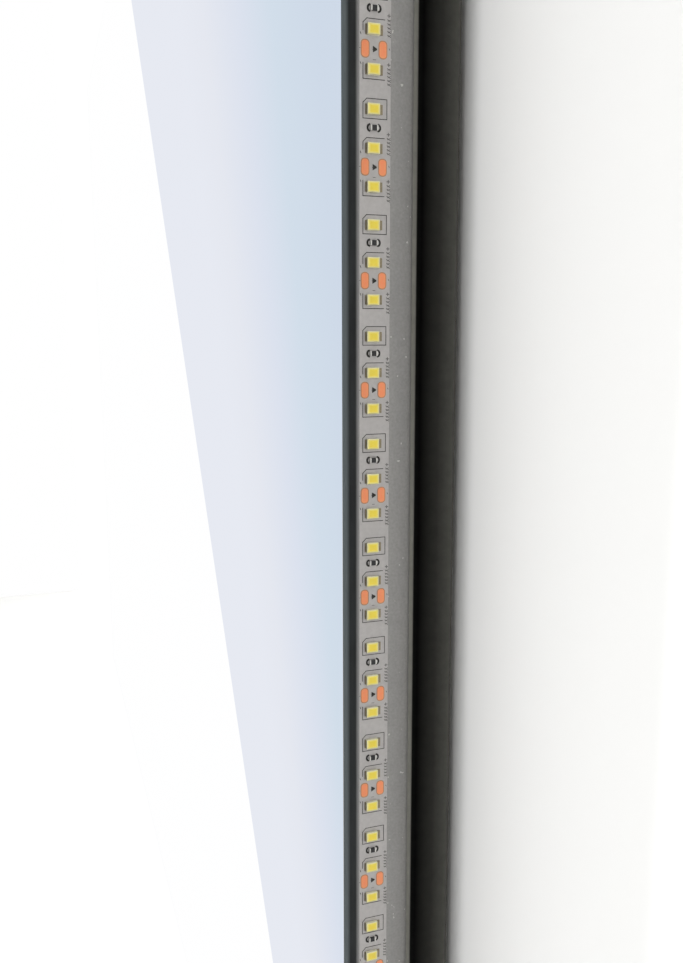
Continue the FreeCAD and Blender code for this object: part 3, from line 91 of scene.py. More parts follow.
class Shade:
    """One node material while it is being made."""

    def __init__(self, name: str) -> None:
        """Start an empty material.

        Args:
            name: Name of the material.
        """
        self.material = bpy.data.materials.new(name)
        self.material.use_nodes = True
        self.tree = self.material.node_tree
        self.tree.nodes.clear()
        self.output = self.add("ShaderNodeOutputMaterial")
        self.object_place = self.add("ShaderNodeTexCoord").outputs["Object"]

    def add(self, kind: str, settings: dict | None = None, values: dict | None = None) -> bpy.types.Node:
        """Add a node.

        Args:
            kind: Blender's name for the node.
            settings: Attributes of the node.
            values: Values of its sockets, or sockets to link to them.

        Returns:
            The node.
        """
        node = self.tree.nodes.new(kind)
        for key, value in (settings or {}).items():
            setattr(node, key, value)
        for key, value in (values or {}).items():
            self.put(node.inputs[key], value)
        return node

    def put(self, socket: bpy.types.NodeSocket, value: object) -> None:
        """Set a socket to a value, or link another socket to it."""
        if isinstance(value, bpy.types.NodeSocket):
            self.tree.links.new(value, socket)
        else:
            socket.default_value = value

    def stretched(self, scale: Colour) -> bpy.types.NodeSocket:
        """Return object coordinates stretched by a scale."""
        return self.add("ShaderNodeMapping", values={"Vector": self.object_place,
                                                     "Scale": scale}).outputs["Vector"]

    def noise(self, place: bpy.types.NodeSocket, scale: float, detail: float = 2.0) -> bpy.types.NodeSocket:
        """Return soft noise at a place.

        Args:
            place: Socket with the coordinates.
            scale: Waves in a metre.
            detail: How many finer layers it has.

        Returns:
            The noise, 0 to 1.
        """
        return self.add("ShaderNodeTexNoise", values={"Vector": place, "Scale": scale,
                                                      "Detail": detail}).outputs["Fac"]

    def ranged(self, value: bpy.types.NodeSocket, low: float, high: float,
               to_low: float = 0.0, to_high: float = 1.0) -> bpy.types.NodeSocket:
        """Return a value moved from one range to another, and held inside it."""
        return self.add("ShaderNodeMapRange", values={"Value": value, "From Min": low, "From Max": high,
                                                      "To Min": to_low, "To Max": to_high}).outputs["Result"]

    def faded(self, axis: str, stops: tuple[tuple[float, float], ...]) -> bpy.types.NodeSocket:
        """Return a share that changes along an axis.

        Args:
            axis: Letter of the axis.
            stops: Places along it in metres, in order, each with its share.

        Returns:
            The share, 0 to 1.
        """
        place = self.add("ShaderNodeSeparateXYZ", values={"Vector": self.object_place}).outputs[axis]
        first, last = stops[0][0], stops[-1][0]
        ramp = self.add("ShaderNodeValToRGB", values={"Fac": self.ranged(place, first, last)})
        marks = ramp.color_ramp.elements
        marks[0].color = (*[stops[0][1]] * 3, 1.0)
        marks[1].color = (*[stops[-1][1]] * 3, 1.0)
        for where, share in stops[1:-1]:
            marks.new((where - first) / (last - first)).color = (share, share, share, 1.0)
        return ramp.outputs["Color"]

    def mixed(self, share: object, first: object, second: object) -> bpy.types.NodeSocket:
        """Return a mix of two colours."""
        node = self.add("ShaderNodeMix", {"data_type": "RGBA"})
        self.put(node.inputs[0], share)
        self.put(node.inputs[6], first)
        self.put(node.inputs[7], second)
        return node.outputs[2]

    def bumped(self, height: bpy.types.NodeSocket, depth: float) -> bpy.types.NodeSocket:
        """Return a normal roughened by a height, whose full depth is in metres."""
        return self.add("ShaderNodeBump", values={"Height": height, "Distance": depth,
                                                  "Strength": 1.0}).outputs["Normal"]

    def surface(self, values: dict) -> bpy.types.NodeSocket:
        """Add a principled shader and return its output."""
        return self.add("ShaderNodeBsdfPrincipled", values=values).outputs["BSDF"]

    def finish(self, surface: bpy.types.NodeSocket) -> bpy.types.Material:
        """Send a surface to the output and return the material."""
        self.put(self.output.inputs["Surface"], surface)
        return self.material


@dataclass(frozen=True)
class GrainFinish:
    """A finish whose colour, gloss and skin vary a little, as a real surface's do; a fade paints shade on
    it, going to black along Y.
    """

    name: str
    colour: Colour
    other: Colour
    grain: float = 900.0
    stretch: Colour = (1.0, 1.0, 1.0)
    metallic: float = 0.0
    roughness: float = 0.5
    spread: float = 0.08
    depth: float = 0.00002
    fine: float = 3000.0
    specks: float = 0.0
    speck_colour: Colour = (200.0, 198.0, 192.0)
    gloss: float = 0.5
    # Places along Y, each with the share of colour kept; the rest is painted shade, going to black.
    fade: tuple[tuple[float, float], ...] = ()

    def make(self) -> bpy.types.Material:
        """Build the material."""
        shade = Shade(self.name)
        place = shade.stretched(self.stretch)
        patch = shade.ranged(shade.noise(place, self.grain, 4.0), 0.3, 0.7)
        colour = shade.mixed(patch, linear(*self.colour), linear(*self.other))
        if self.specks:
            dust = shade.ranged(shade.noise(shade.object_place, 900.0, 1.0), 1.0 - self.specks,
                                1.02 - self.specks)
            colour = shade.mixed(dust, colour, linear(*self.speck_colour))
        # Painted shade: the colour darkens towards black along Y by the fade's shares.
        if self.fade:
            colour = shade.mixed(shade.faded("Y", self.fade), (0.0, 0.0, 0.0, 1.0), colour)
        gloss = shade.ranged(shade.noise(place, self.grain * 0.35), 0.3, 0.7,
                             self.roughness - self.spread, self.roughness + self.spread)
        skin = shade.bumped(shade.noise(place, self.fine, 3.0), self.depth)
        return shade.finish(shade.surface({"Base Color": colour, "Metallic": self.metallic,
                                           "Roughness": gloss, "Normal": skin,
                                           "Specular IOR Level": self.gloss}))


@dataclass(frozen=True)
class MirrorFinish:
    """Silvered front; a polished dark green-grey edge with a painted highlight along its ground front arris
    and a pale band at its rear; and the paint behind the silver.
    """

    front: float
    rear: float
    name: str = "silvered_glass"
    # Width of the ground front arris, where the highlight is painted.
    ground: float = 0.0008
    back_ground: float = 0.00105
    skin: float = 0.00003

    def make(self) -> bpy.types.Material:
        """Build the material."""
        shade = Shade(self.name)
        depth = shade.add("ShaderNodeSeparateXYZ", values={"Vector": shade.object_place}).outputs["Y"]
        face = shade.surface({"Base Color": (0.995, 0.995, 1.0, 1.0), "Metallic": 1.0, "Roughness": 0.0})
        # Dark green-grey of the edge, mottled at random.
        cloud = shade.noise(shade.stretched((1.0, 6.0, 1.0)), 60.0, 4.0)
        edge_mottle = shade.mixed(shade.ranged(cloud, 0.35, 0.7), linear(20, 22, 23), linear(34, 37, 38))
        # Painted highlight: a lighter green-grey band along the edge's front arris.
        bevel = shade.ranged(depth, self.front + self.ground, self.front + 2 * self.ground)
        tone = shade.mixed(bevel, linear(78, 84, 86), edge_mottle)
        # A pale grey band along the rear of the edge.
        lip = shade.ranged(depth, self.rear - self.back_ground, self.rear - 0.1 * self.back_ground)
        tone = shade.mixed(lip, tone, linear(140, 139, 138))
        grit = shade.bumped(shade.noise(shade.object_place, 4000.0), 0.00001)
        edge = shade.surface({"Base Color": tone, "Roughness": 0.35, "Normal": grit,
                              "Specular IOR Level": 0.14})
        spots = shade.noise(shade.object_place, 700.0, 3.0)
        paint = shade.mixed(spots, linear(96, 99, 104), linear(108, 110, 114))
        back = shade.surface({"Base Color": paint, "Roughness": 0.55})
        at_rear = shade.ranged(depth, self.rear - 2 * self.skin, self.rear - self.skin)
        at_front = shade.ranged(depth, self.front + self.skin, self.front + 2 * self.skin)
        body = shade.add("ShaderNodeMixShader", values={"Fac": at_rear, 1: edge, 2: back})
        whole = shade.add("ShaderNodeMixShader", values={"Fac": at_front, 1: face, 2: body.outputs[0]})
        return shade.finish(whole.outputs[0])


@dataclass(frozen=True)
class PhosphorFinish:
    """Yellow phosphor that is deeper towards the middle of each LED."""

    name: str = "led_phosphor_gel"

    def make(self) -> bpy.types.Material:
        """Build the material."""
        shade = Shade(self.name)
        local = shade.add("ShaderNodeTexCoord").outputs["UV"]
        centred = shade.add("ShaderNodeMapping", values={"Vector": local, "Location": (-0.53, -0.5, 0.0)})
        apart = shade.add("ShaderNodeVectorMath", {"operation": "ABSOLUTE"},
                          {0: centred.outputs["Vector"]}).outputs["Vector"]
        sides = shade.add("ShaderNodeSeparateXYZ", values={"Vector": apart}).outputs
        reach = shade.add("ShaderNodeMath", {"operation": "SMOOTH_MAX"},
                          {0: sides["X"], 1: sides["Y"], 2: 0.08}).outputs["Value"]
        pale = shade.ranged(reach, 0.27, 0.46)
        colour = shade.mixed(pale, linear(255, 229, 52), linear(253, 244, 170))
        speckle = shade.noise(shade.object_place, 9000.0, 2.0)
        colour = shade.mixed(shade.ranged(speckle, 0.4, 0.9, 0.0, 0.25), colour, linear(255, 244, 170))
        skin = shade.bumped(speckle, 0.00001)
        return shade.finish(shade.surface({"Base Color": colour, "Roughness": 0.35, "Normal": skin,
                                           "Coat Weight": 0.3}))


# ---------------------------------------------------------------- mesh helpers

def clean_mesh(bm: bmesh.types.BMesh, name: str) -> bpy.types.Mesh:
    """Turn a bmesh into a mesh.

    Args:
        bm: The bmesh, which is freed.
        name: Name of the mesh.

    Returns:
        The mesh.
    """
    mesh = bpy.data.meshes.new(name)
    bm.to_mesh(mesh)
    bm.free()
    return mesh


def new_piece(mesh: bpy.types.Mesh, name: str, materials: list[bpy.types.Material],
              replaces: tuple[str, ...] = ()) -> bpy.types.Object:
    """Put a mesh into the scene as a piece of the mirror.

    Args:
        mesh: The mesh, in its place.
        name: Name of the piece.
        materials: Its materials in the order of their indices.
        replaces: CAD nodes that it stands for.

    Returns:
        The object.
    """
    piece = bpy.data.objects.new(name, mesh)
    bpy.context.scene.collection.objects.link(piece)
    for material in materials:
        mesh.materials.append(material)
    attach(piece, "mirror")
    if replaces:
        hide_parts(*replaces)
    LOG.info("%s: %d faces", name, len(mesh.polygons))
    return piece


def add_block(bm: bmesh.types.BMesh, centre: Colour, span: Colour, material: int,
              bevel: float = 0.0) -> list[bmesh.types.BMFace]:
    """Add a box with slightly rounded edges.

    Args:
        bm: Where it goes.
        centre: Its middle.
        span: Its three lengths.
        material: Index of its material.
        bevel: How much is taken off its edges.

    Returns:
        Its faces.
    """
    move = Matrix.Translation(centre) @ Matrix.Diagonal((*span, 1.0))
    made = bmesh.ops.create_cube(bm, size=1.0, matrix=move)
    faces = {face for vert in made["verts"] for face in vert.link_faces}
    if bevel:
        edges = list({edge for vert in made["verts"] for edge in vert.link_edges})
        cut = bmesh.ops.bevel(bm, geom=edges, offset=bevel, offset_type="OFFSET", segments=1,
                              profile=0.5, affect="EDGES", material=-1)
        faces = {face for face in faces if face.is_valid} | set(cut["faces"])
    for face in faces:
        face.material_index = material
    return list(faces)


def add_stroke(bm: bmesh.types.BMesh, start: Vector, end: Vector, width: float, lift: float) -> None:
    """Add one straight printed stroke; both ends are places (along, across) on the strip."""
    middle, span = (start + end) / 2, end - start
    turn = Matrix.Rotation(math.atan2(span.y, span.x), 4, "Z")
    size = Matrix.Diagonal((span.length + width, width, 1.0, 1.0))
    place = Matrix.Translation((middle.x, middle.y, -lift))
    flip = Matrix.Rotation(math.pi, 4, "X")
    bmesh.ops.create_grid(bm, x_segments=1, y_segments=1, size=0.5, matrix=place @ turn @ size @ flip)


# ---------------------------------------------------------------- LED strips

class Side(Enum):
    """The four sides of the frame: CAD name and turn about Y, in degrees."""

    RIGHT = ("right", -90.0)
    BOTTOM = ("bottom", 0.0)
    LEFT = ("left", 90.0)
    TOP = ("top", 180.0)

    @property
    def label(self) -> str:
        """Name of the side in the CAD nodes."""
        return self.value[0]

    @property
    def turn(self) -> float:
        """Turn about Y in radians."""
        return math.radians(self.value[1])


@dataclass
class StripFinishes:
    """The materials of a strip."""

    body: bpy.types.Material
    phosphor: bpy.types.Material
    tin: bpy.types.Material
    solder: bpy.types.Material
    black: bpy.types.Material
    copper: bpy.types.Material
    rim: bpy.types.Material
    ink: bpy.types.Material
    faint: bpy.types.Material


@dataclass
class LightStrip:
    """One side's LED strip: bodies with phosphor, resistors, solder pads and printed marks."""

    side: Side
    unit: float = 0.025
    chip_along: float = 0.00245
    chip_across: float = 0.0030
    chip_down: float = 0.00016
    chip_aside: float = -0.00028
    resistor_up: float = 0.00012
    chip_height: float = 0.0008
    wall: float = 0.00026
    sink: float = 0.00006
    tab: float = 0.0003
    far_tab: float = 0.00078
    pad_along: float = 0.0039
    pad_across: float = 0.0021
    pad_offset: float = 0.0021
    pad_rise: float = 0.00004
    line: float = 0.00017
    ink_rise: float = 0.00002
    frame_half: float = 0.0
    strip_half: float = 0.0
    strip_y: float = 0.0
    top: float = 0.0
    base: Vector | None = None

    def __post_init__(self) -> None:
        """Take the strip's place from the CAD nodes."""
        low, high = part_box(f"led_strip_{self.side.label}")
        frame_low, frame_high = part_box(f"frame_{self.side.label}")
        upright = self.side in (Side.RIGHT, Side.LEFT)
        self.strip_half = (high.z - low.z if upright else high.x - low.x) / 2
        self.strip_y = (low.y + high.y) / 2
        self.top = high.x - low.x if upright else high.z - low.z
        middle = (frame_low + frame_high) / 2
        edge = {Side.RIGHT: (frame_high.x, middle.z), Side.LEFT: (frame_low.x, middle.z),
                Side.TOP: (middle.x, frame_high.z), Side.BOTTOM: (middle.x, frame_low.z)}[self.side]
        self.base = Vector((edge[0], 0.0, edge[1]))

    @property
    def place(self) -> Matrix:
        """Placement of what is drawn in the side's own frame: X along it, Z inwards."""
        return Matrix.Translation(self.base) @ Matrix.Rotation(self.side.turn, 4, "Y")

    @property
    def count(self) -> int:
        """How many units the strip has."""
        return round(2 * self.strip_half / self.unit)

    def spot(self, along: float, across: float) -> Vector:
        """Return a place on the strip: distance from its first end, and from its middle line."""
        return Vector((self.strip_half - along, self.strip_y + across, 0.0))

    def led_shape(self) -> bpy.types.Mesh:
        """Build one LED body at the origin, standing towards -Z, with its local place as UV."""
        bm = bmesh.new()
        layer = bm.loops.layers.uv.new("place")
        faces = add_block(bm, (0, 0, -self.chip_height / 2),
                          (self.chip_along, self.chip_across, self.chip_height), 0, 0.00008)
        crown = min(faces, key=lambda face: (face.calc_center_median().z, -face.calc_area()))
        bmesh.ops.inset_region(bm, faces=[crown], thickness=self.wall, depth=0.0)
        bmesh.ops.bevel(bm, geom=list(crown.verts), offset=0.0003, offset_type="OFFSET", segments=2,
                        profile=0.5, affect="VERTICES", material=-1)
        gel = min(bm.faces, key=lambda face: face.calc_center_median().z - face.calc_area() * 50)
        bmesh.ops.inset_region(bm, faces=[gel], thickness=0.00005, depth=-self.sink)
        gel.material_index = 1
        for sign, tab in ((-1, self.tab), (1, self.far_tab)):
            add_block(bm, (0, sign * (self.chip_across + tab) / 2, -0.00012),
                      (self.chip_along * 0.86, tab, 0.00024), 2)
        for face in bm.faces:
            for loop in face.loops:
                loop[layer].uv = (0.5 + loop.vert.co.y / self.chip_across,
                                  0.5 + loop.vert.co.x / self.chip_along)
        bmesh.ops.recalc_face_normals(bm, faces=bm.faces)
        return clean_mesh(bm, "led_shape")

    def resistor_shape(self) -> bpy.types.Mesh:
        """Build one resistor at the origin: black middle, tinned ends."""
        bm = bmesh.new()
        add_block(bm, (0, 0, -0.00025), (0.00115, 0.0018, 0.0005), 0, 0.00004)
        for cut in (-0.00058, 0.00058):
            bmesh.ops.bisect_plane(bm, geom=[*bm.verts, *bm.edges, *bm.faces], plane_co=(0, cut, 0),
                                   plane_no=(0, 1, 0), clear_inner=False, clear_outer=False)
        for face in bm.faces:
            face.material_index = 1 if abs(face.calc_center_median().y) > 0.0006 else 0
        bmesh.ops.recalc_face_normals(bm, faces=bm.faces)
        return clean_mesh(bm, "resistor_shape")

    def pad_shape(self) -> bpy.types.Mesh:
        """Build one oblong copper pad with a browned rim."""
        bm = bmesh.new()
        made = bmesh.ops.create_grid(bm, x_segments=1, y_segments=1, size=0.5, matrix=Matrix.Diagonal(
            (self.pad_along, self.pad_across, 1.0, 1.0)) @ Matrix.Rotation(math.pi, 4, "X"))
        bmesh.ops.bevel(bm, geom=made["verts"], offset=0.0009, offset_type="OFFSET", segments=5,
                        profile=0.5, affect="VERTICES", material=-1)
        out = bmesh.ops.extrude_face_region(bm, geom=list(bm.faces))
        moved = [item for item in out["geom"] if isinstance(item, bmesh.types.BMVert)]
        bmesh.ops.translate(bm, verts=moved, vec=(0, 0, -self.pad_rise))
        crown = [item for item in out["geom"] if isinstance(item, bmesh.types.BMFace)]
        for face in bm.faces:
            face.material_index = 1
        bmesh.ops.inset_region(bm, faces=crown, thickness=0.00022, depth=0.0)
        crown[0].material_index = 0
        bmesh.ops.recalc_face_normals(bm, faces=bm.faces)
        return clean_mesh(bm, "pad_shape")

    def repeat(self, shape: bpy.types.Mesh, spots: list[Vector], lift: float) -> bmesh.types.BMesh:
        """Put copies of a shape on the strip.

        Args:
            shape: Mesh of one copy, which is removed.
            spots: Where the copies stand.
            lift: How far they stand above the frame's face.

        Returns:
            A bmesh of all copies, in place.
        """
        bm = bmesh.new()
        for spot in spots:
            before = len(bm.verts)
            bm.from_mesh(shape)
            bm.verts.ensure_lookup_table()
            bmesh.ops.transform(bm, verts=bm.verts[before:],
                                matrix=self.place @ Matrix.Translation(spot - Vector((0, 0, lift))))
        bpy.data.meshes.remove(shape)
        return bm

    def build_leds(self, looks: StripFinishes) -> None:
        """Make the LED bodies, which stand for the CAD chips."""
        spots = [self.spot((index + (third + 0.5) / 3) * self.unit + self.chip_down, self.chip_aside)
                 for index in range(self.count) for third in range(3)]
        bm = self.repeat(self.led_shape(), spots, self.top)
        new_piece(clean_mesh(bm, f"leds_{self.side.label}"), f"leds_{self.side.label}",
                  [looks.body, looks.phosphor, looks.tin],
                  (f"led_chips_{self.side.label}",))

    def build_resistors(self, looks: StripFinishes) -> None:
        """Make the resistors, which stand for the CAD ones."""
        spots = [self.spot((index + 2 / 3) * self.unit - self.resistor_up, 0.0)
                 for index in range(self.count)]
        bm = self.repeat(self.resistor_shape(), spots, self.top)
        new_piece(clean_mesh(bm, f"resistors_{self.side.label}"), f"resistors_{self.side.label}",
                  [looks.black, looks.solder], (f"led_resistors_{self.side.label}",))

    def build_pads(self, looks: StripFinishes) -> None:
        """Make the pairs of copper pads where the strip can be cut."""
        inset = self.pad_along / 2 + 0.0002
        spots = []
        for index in range(self.count + 1):
            along = min(max(index * self.unit, inset), self.count * self.unit - inset)
            spots += [self.spot(along, sign * self.pad_offset) for sign in (-1, 1)]
        bm = self.repeat(self.pad_shape(), spots, self.top)
        new_piece(clean_mesh(bm, f"pads_{self.side.label}"), f"pads_{self.side.label}",
                  [looks.copper, looks.rim])

    def run(self, bm: bmesh.types.BMesh, points: list[tuple[float, float]], origin: float,
            width: float | None = None) -> None:
        """Print strokes from point to point; each is (along from origin, across)."""
        places = [self.spot(origin + along, across) for along, across in points]
        for start, end in zip(places, places[1:]):
            add_stroke(bm, start, end, width or self.line, self.top + self.ink_rise)

    def build_marks(self, looks: StripFinishes) -> None:
        """Print the outlines round the LEDs, the brackets, the cut marks and the polarity signs."""
        half, left, right, cut = 0.00212, -0.00262, 0.0031, 0.0009
        bm = bmesh.new()
        for index in range(self.count):
            start = index * self.unit
            first, second, third = (start + (step + 0.5) * self.unit / 3 for step in range(3))
            self.run(bm, [(-half, left + cut), (-half, right), (half, right), (half, left),
                          (-half + cut, left), (-half, left + cut)], second)
            self.run(bm, [(-half, right - 0.0006), (-half, left + cut), (-half + cut, left),
                          (0.0004, left)], third)
            self.run(bm, [(-0.0012, left), (half, left), (half, right - 0.0006)], first)
            resistor = start + 2 * self.unit / 3
            for sign in (-1, 1):
                arc = [(0.0007 * math.sin(step * 0.45), sign * (0.00094 + 0.00058 * math.cos(step * 0.45)))
                       for step in range(-3, 4)]
                self.run(bm, arc, resistor - self.resistor_up, 0.00042)
            self.run(bm, [(0.0, -0.0004), (0.0, 0.0003)], resistor + 0.0034 + 0.00498, 0.0001)
        for index in range(1, self.count):
            joint = index * self.unit
            for step in range(6):
                half_tip = 0.00055 * (1 - step / 6)
                across = -0.0002 + step * 0.00016
                self.run(bm, [(-half_tip, across), (half_tip, across)], joint, 0.0002)
            self.run(bm, [(0.0, -0.0039), (0.0, -0.0033)], joint, 0.00012)
            self.run(bm, [(-0.0004, 0.0036), (-0.0001, 0.00375)], joint, 0.00012)
            self.run(bm, [(0.0022, -0.0002), (0.0022, 0.0004)], joint, 0.0001)
            for sign in (-1, 1):
                self.run(bm, [(sign * 0.0031 - 0.0002, -0.00325), (sign * 0.0031 + 0.0002, -0.0031)],
                         joint, 0.00015)
        self.finish_marks(bm, "marks", looks.ink)

    def build_signs(self, looks: StripFinishes) -> None:
        """Print a plus sign and a row of plain ticks beside the LEDs next to each cut mark."""
        bm = bmesh.new()
        for index in range(1, self.count):
            for begin in (-0.0072, 0.0030):
                joint = index * self.unit + begin
                self.run(bm, [(-0.0003, 0.0035), (0.0003, 0.0035)], joint, 0.0002)
                self.run(bm, [(0.0, 0.0032), (0.0, 0.0038)], joint, 0.0002)
                for step in range(5):
                    along = 0.0008 + step * 0.0008
                    self.run(bm, [(along, 0.0032), (along + 0.0004, 0.0039)], joint, 0.00019)
                    self.run(bm, [(along + 0.0003, 0.0033), (along, 0.0039)], joint, 0.00016)
        self.finish_marks(bm, "signs", looks.faint)

    def finish_marks(self, bm: bmesh.types.BMesh, kind: str, ink: bpy.types.Material) -> None:
        """Move printed marks to their side and keep them as a piece."""
        bmesh.ops.transform(bm, verts=bm.verts, matrix=self.place)
        name = f"{kind}_{self.side.label}"
        new_piece(clean_mesh(bm, name), name, [ink])

    def build(self, looks: StripFinishes) -> None:
        """Make everything on this strip."""
        self.build_leds(looks)
        self.build_resistors(looks)
        self.build_pads(looks)
        self.build_marks(looks)
        self.build_signs(looks)


# ---------------------------------------------------------------- stage, light and camera

@dataclass
class View:
    """The camera of the photograph, and the rays through its picture."""

    width: int = 683
    height: int = 963
    focal: float = 888.3
    yaw: float = math.radians(18.78)
    pitch: float = math.radians(9.0)
    roll: float = math.radians(-0.184)
    place: Colour = (0.5806, -0.0997, -0.1411)

    def axes(self) -> tuple[Vector, Vector, Vector]:
        """Return the camera's forward, right and up directions."""
        forward = Vector((-math.cos(self.yaw) * math.cos(self.pitch),
                          math.sin(self.yaw) * math.cos(self.pitch), -math.sin(self.pitch)))
        right = forward.cross(Vector((0, 0, 1))).normalized()
        up = right.cross(forward)
        turned = right * math.cos(self.roll) + up * math.sin(self.roll)
        return forward, turned, up * math.cos(self.roll) - right * math.sin(self.roll)

    def ray(self, across: float, down: float) -> Vector:
        """Return the direction through a point of the picture."""
        forward, right, up = self.axes()
        return (forward + right * ((across - self.width / 2) / self.focal)
                - up * ((down - self.height / 2) / self.focal)).normalized()

    def seen_in_mirror(self, across: float, down: float) -> Vector:
        """Return the direction that the mirror shows at a point of the picture."""
        ray = self.ray(across, down)
        return Vector((ray.x, -ray.y, ray.z))

    def build(self) -> None:
        """Make the camera."""
        data = bpy.data.cameras.new("photo_camera")
        data.sensor_width = 36.0
        data.lens = self.focal / self.height * data.sensor_width
        data.clip_start, data.clip_end = 0.01, 50.0
        camera = bpy.data.objects.new("photo_camera", data)
        forward, right, up = self.axes()
        turn = Matrix((right, up, -forward)).transposed()
        camera.matrix_world = Matrix.Translation(self.place) @ turn.to_4x4()
        bpy.context.scene.collection.objects.link(camera)
        bpy.context.scene.camera = camera


@dataclass
class Surroundings:
    """White studio; the mirror sees a pale blue room whose edge shows as a slanted line."""

    view: View
    fill: float = 0.56
    key: float = 1.5
    key_slant: float = 25.6
    key_spread: float = 13.0

    def split(self, first: tuple[float, float], second: tuple[float, float],
              inside: tuple[float, float]) -> Vector:
        """Return the plane through two picture points of the reflection, facing a third."""
        normal = self.view.seen_in_mirror(*first).cross(self.view.seen_in_mirror(*second)).normalized()
        return normal if normal.dot(self.view.seen_in_mirror(*inside)) > 0 else -normal

    def build_world(self) -> None:
        """Make the world: plain light, a white background, and the room in the mirror."""
        world = bpy.data.worlds.new("studio")
        world.use_nodes = True
        bpy.context.scene.world = world
        tree = world.node_tree
        tree.nodes.clear()

        def add(kind: str, settings: dict, values: dict) -> bpy.types.Node:
            """Add a node with settings and values or links."""
            node = tree.nodes.new(kind)
            for key, value in settings.items():
                setattr(node, key, value)
            for key, value in values.items():
                if isinstance(value, bpy.types.NodeSocket):
                    tree.links.new(value, node.inputs[key])
                else:
                    node.inputs[key].default_value = value
            return node

        def maths(operation: str, first: object, second: object) -> bpy.types.NodeSocket:
            """Add a sum and return its result."""
            return add("ShaderNodeMath", {"operation": operation}, {0: first, 1: second}).outputs[0]

        edge = self.split((131.3, 0), (273.1, 963), (300, 480))
        fade = self.split((270, 20), (355, 940), (400, 480))
        direction = add("ShaderNodeTexCoord", {}, {}).outputs["Generated"]
        beyond_edge = add("ShaderNodeVectorMath", {"operation": "DOT_PRODUCT"},
                          {0: direction, 1: edge}).outputs["Value"]
        beyond_fade = add("ShaderNodeVectorMath", {"operation": "DOT_PRODUCT"},
                          {0: direction, 1: fade}).outputs["Value"]
        gap = maths("MAXIMUM", maths("SUBTRACT", beyond_edge, beyond_fade), 0.002)
        share = maths("DIVIDE", beyond_edge, gap)
        ramp = add("ShaderNodeValToRGB", {}, {"Fac": maths("DIVIDE", share, 1.5)})
        stops = ramp.color_ramp.elements
        stops[0].position, stops[0].color = 0.22, linear(231, 234, 242)
        stops[1].position, stops[1].color = 0.9, linear(207, 218, 232)
        for where, tone in ((0.34, (229, 232, 240)), (0.52, (220, 226, 238)), (0.68, (210, 222, 234))):
            stop = stops.new(where)
            stop.color = linear(*tone)
        parts = add("ShaderNodeSeparateXYZ", {}, {"Vector": direction}).outputs
        horizon = add("ShaderNodeMapRange", {"interpolation_type": "SMOOTHSTEP"},
                      {"Value": parts["Z"], "From Min": -0.3, "From Max": 0.1}).outputs["Result"]
        facing = add("ShaderNodeMapRange", {"interpolation_type": "SMOOTHSTEP"},
                     {"Value": parts["Y"], "From Min": -0.5, "From Max": -0.8}).outputs["Result"]
        far = add("ShaderNodeMix", {"data_type": "RGBA"}, {0: horizon, 6: linear(229, 228, 225),
                                                           7: linear(198, 211, 227)})
        near = add("ShaderNodeMix", {"data_type": "RGBA"}, {0: facing, 6: ramp.outputs["Color"],
                                                            7: far.outputs[2]})
        inside = maths("GREATER_THAN", beyond_edge, 0.0)
        room = add("ShaderNodeMix", {"data_type": "RGBA"}, {0: inside, 6: (1.0, 1.0, 1.0, 1.0),
                                                            7: near.outputs[2]})
        rays = add("ShaderNodeLightPath", {}, {})
        plain = add("ShaderNodeBackground", {}, {"Color": (1.0, 0.995, 0.985, 1.0), "Strength": self.fill})
        shown = add("ShaderNodeBackground", {}, {"Color": (1.0, 1.0, 1.0, 1.0), "Strength": 1.0})
        mirrored = add("ShaderNodeBackground", {}, {"Color": room.outputs[2], "Strength": 1.0})
        glossy = maths("MAXIMUM", rays.outputs["Is Glossy Ray"], rays.outputs["Is Transmission Ray"])
        first = add("ShaderNodeMixShader", {}, {0: glossy, 1: plain.outputs[0], 2: mirrored.outputs[0]})
        second = add("ShaderNodeMixShader", {}, {0: rays.outputs["Is Camera Ray"], 1: first.outputs[0],
                                                 2: shown.outputs[0]})
        add("ShaderNodeOutputWorld", {}, {"Surface": second.outputs[0]})

    def add_sun(self, name: str, towards: Colour, strength: float, spread: float,
                only: tuple[bpy.types.Object, ...] = ()) -> None:
        """Add a far lamp.

        Args:
            name: Name of the lamp.
            towards: Direction from the mirror to the lamp.
            strength: Its strength in watts a square metre.
            spread: Its angle in degrees.
            only: What it lights, or nothing to light everything.
        """
        data = bpy.data.lights.new(name, "SUN")
        data.energy, data.angle = strength, math.radians(spread)
        lamp = bpy.data.objects.new(name, data)
        lamp.rotation_euler = Vector(towards).to_track_quat("Z", "Y").to_euler()
        lamp.visible_glossy = False
        bpy.context.scene.collection.objects.link(lamp)
        if only:
            lit = bpy.data.collections.new(f"lit_by_{name}")
            for item in only:
                lit.objects.link(item)
            lamp.light_linking.receiver_collection = lit

    def stage_material(self, name: str, tone: Colour) -> bpy.types.Material:
        """Make a pale matt material that is clear when seen from behind."""
        shade = Shade(name)
        patch = shade.noise(shade.object_place, 3.0, 3.0)
        colour = shade.mixed(patch, linear(*tone), linear(*(level - 2 for level in tone)))
        matt = shade.surface({"Base Color": colour, "Roughness": 0.9, "Specular IOR Level": 0.1})
        clear = shade.add("ShaderNodeBsdfTransparent").outputs[0]
        behind = shade.add("ShaderNodeNewGeometry").outputs["Backfacing"]
        mix = shade.add("ShaderNodeMixShader", values={"Fac": behind, 1: matt, 2: clear})
        return shade.finish(mix.outputs[0])

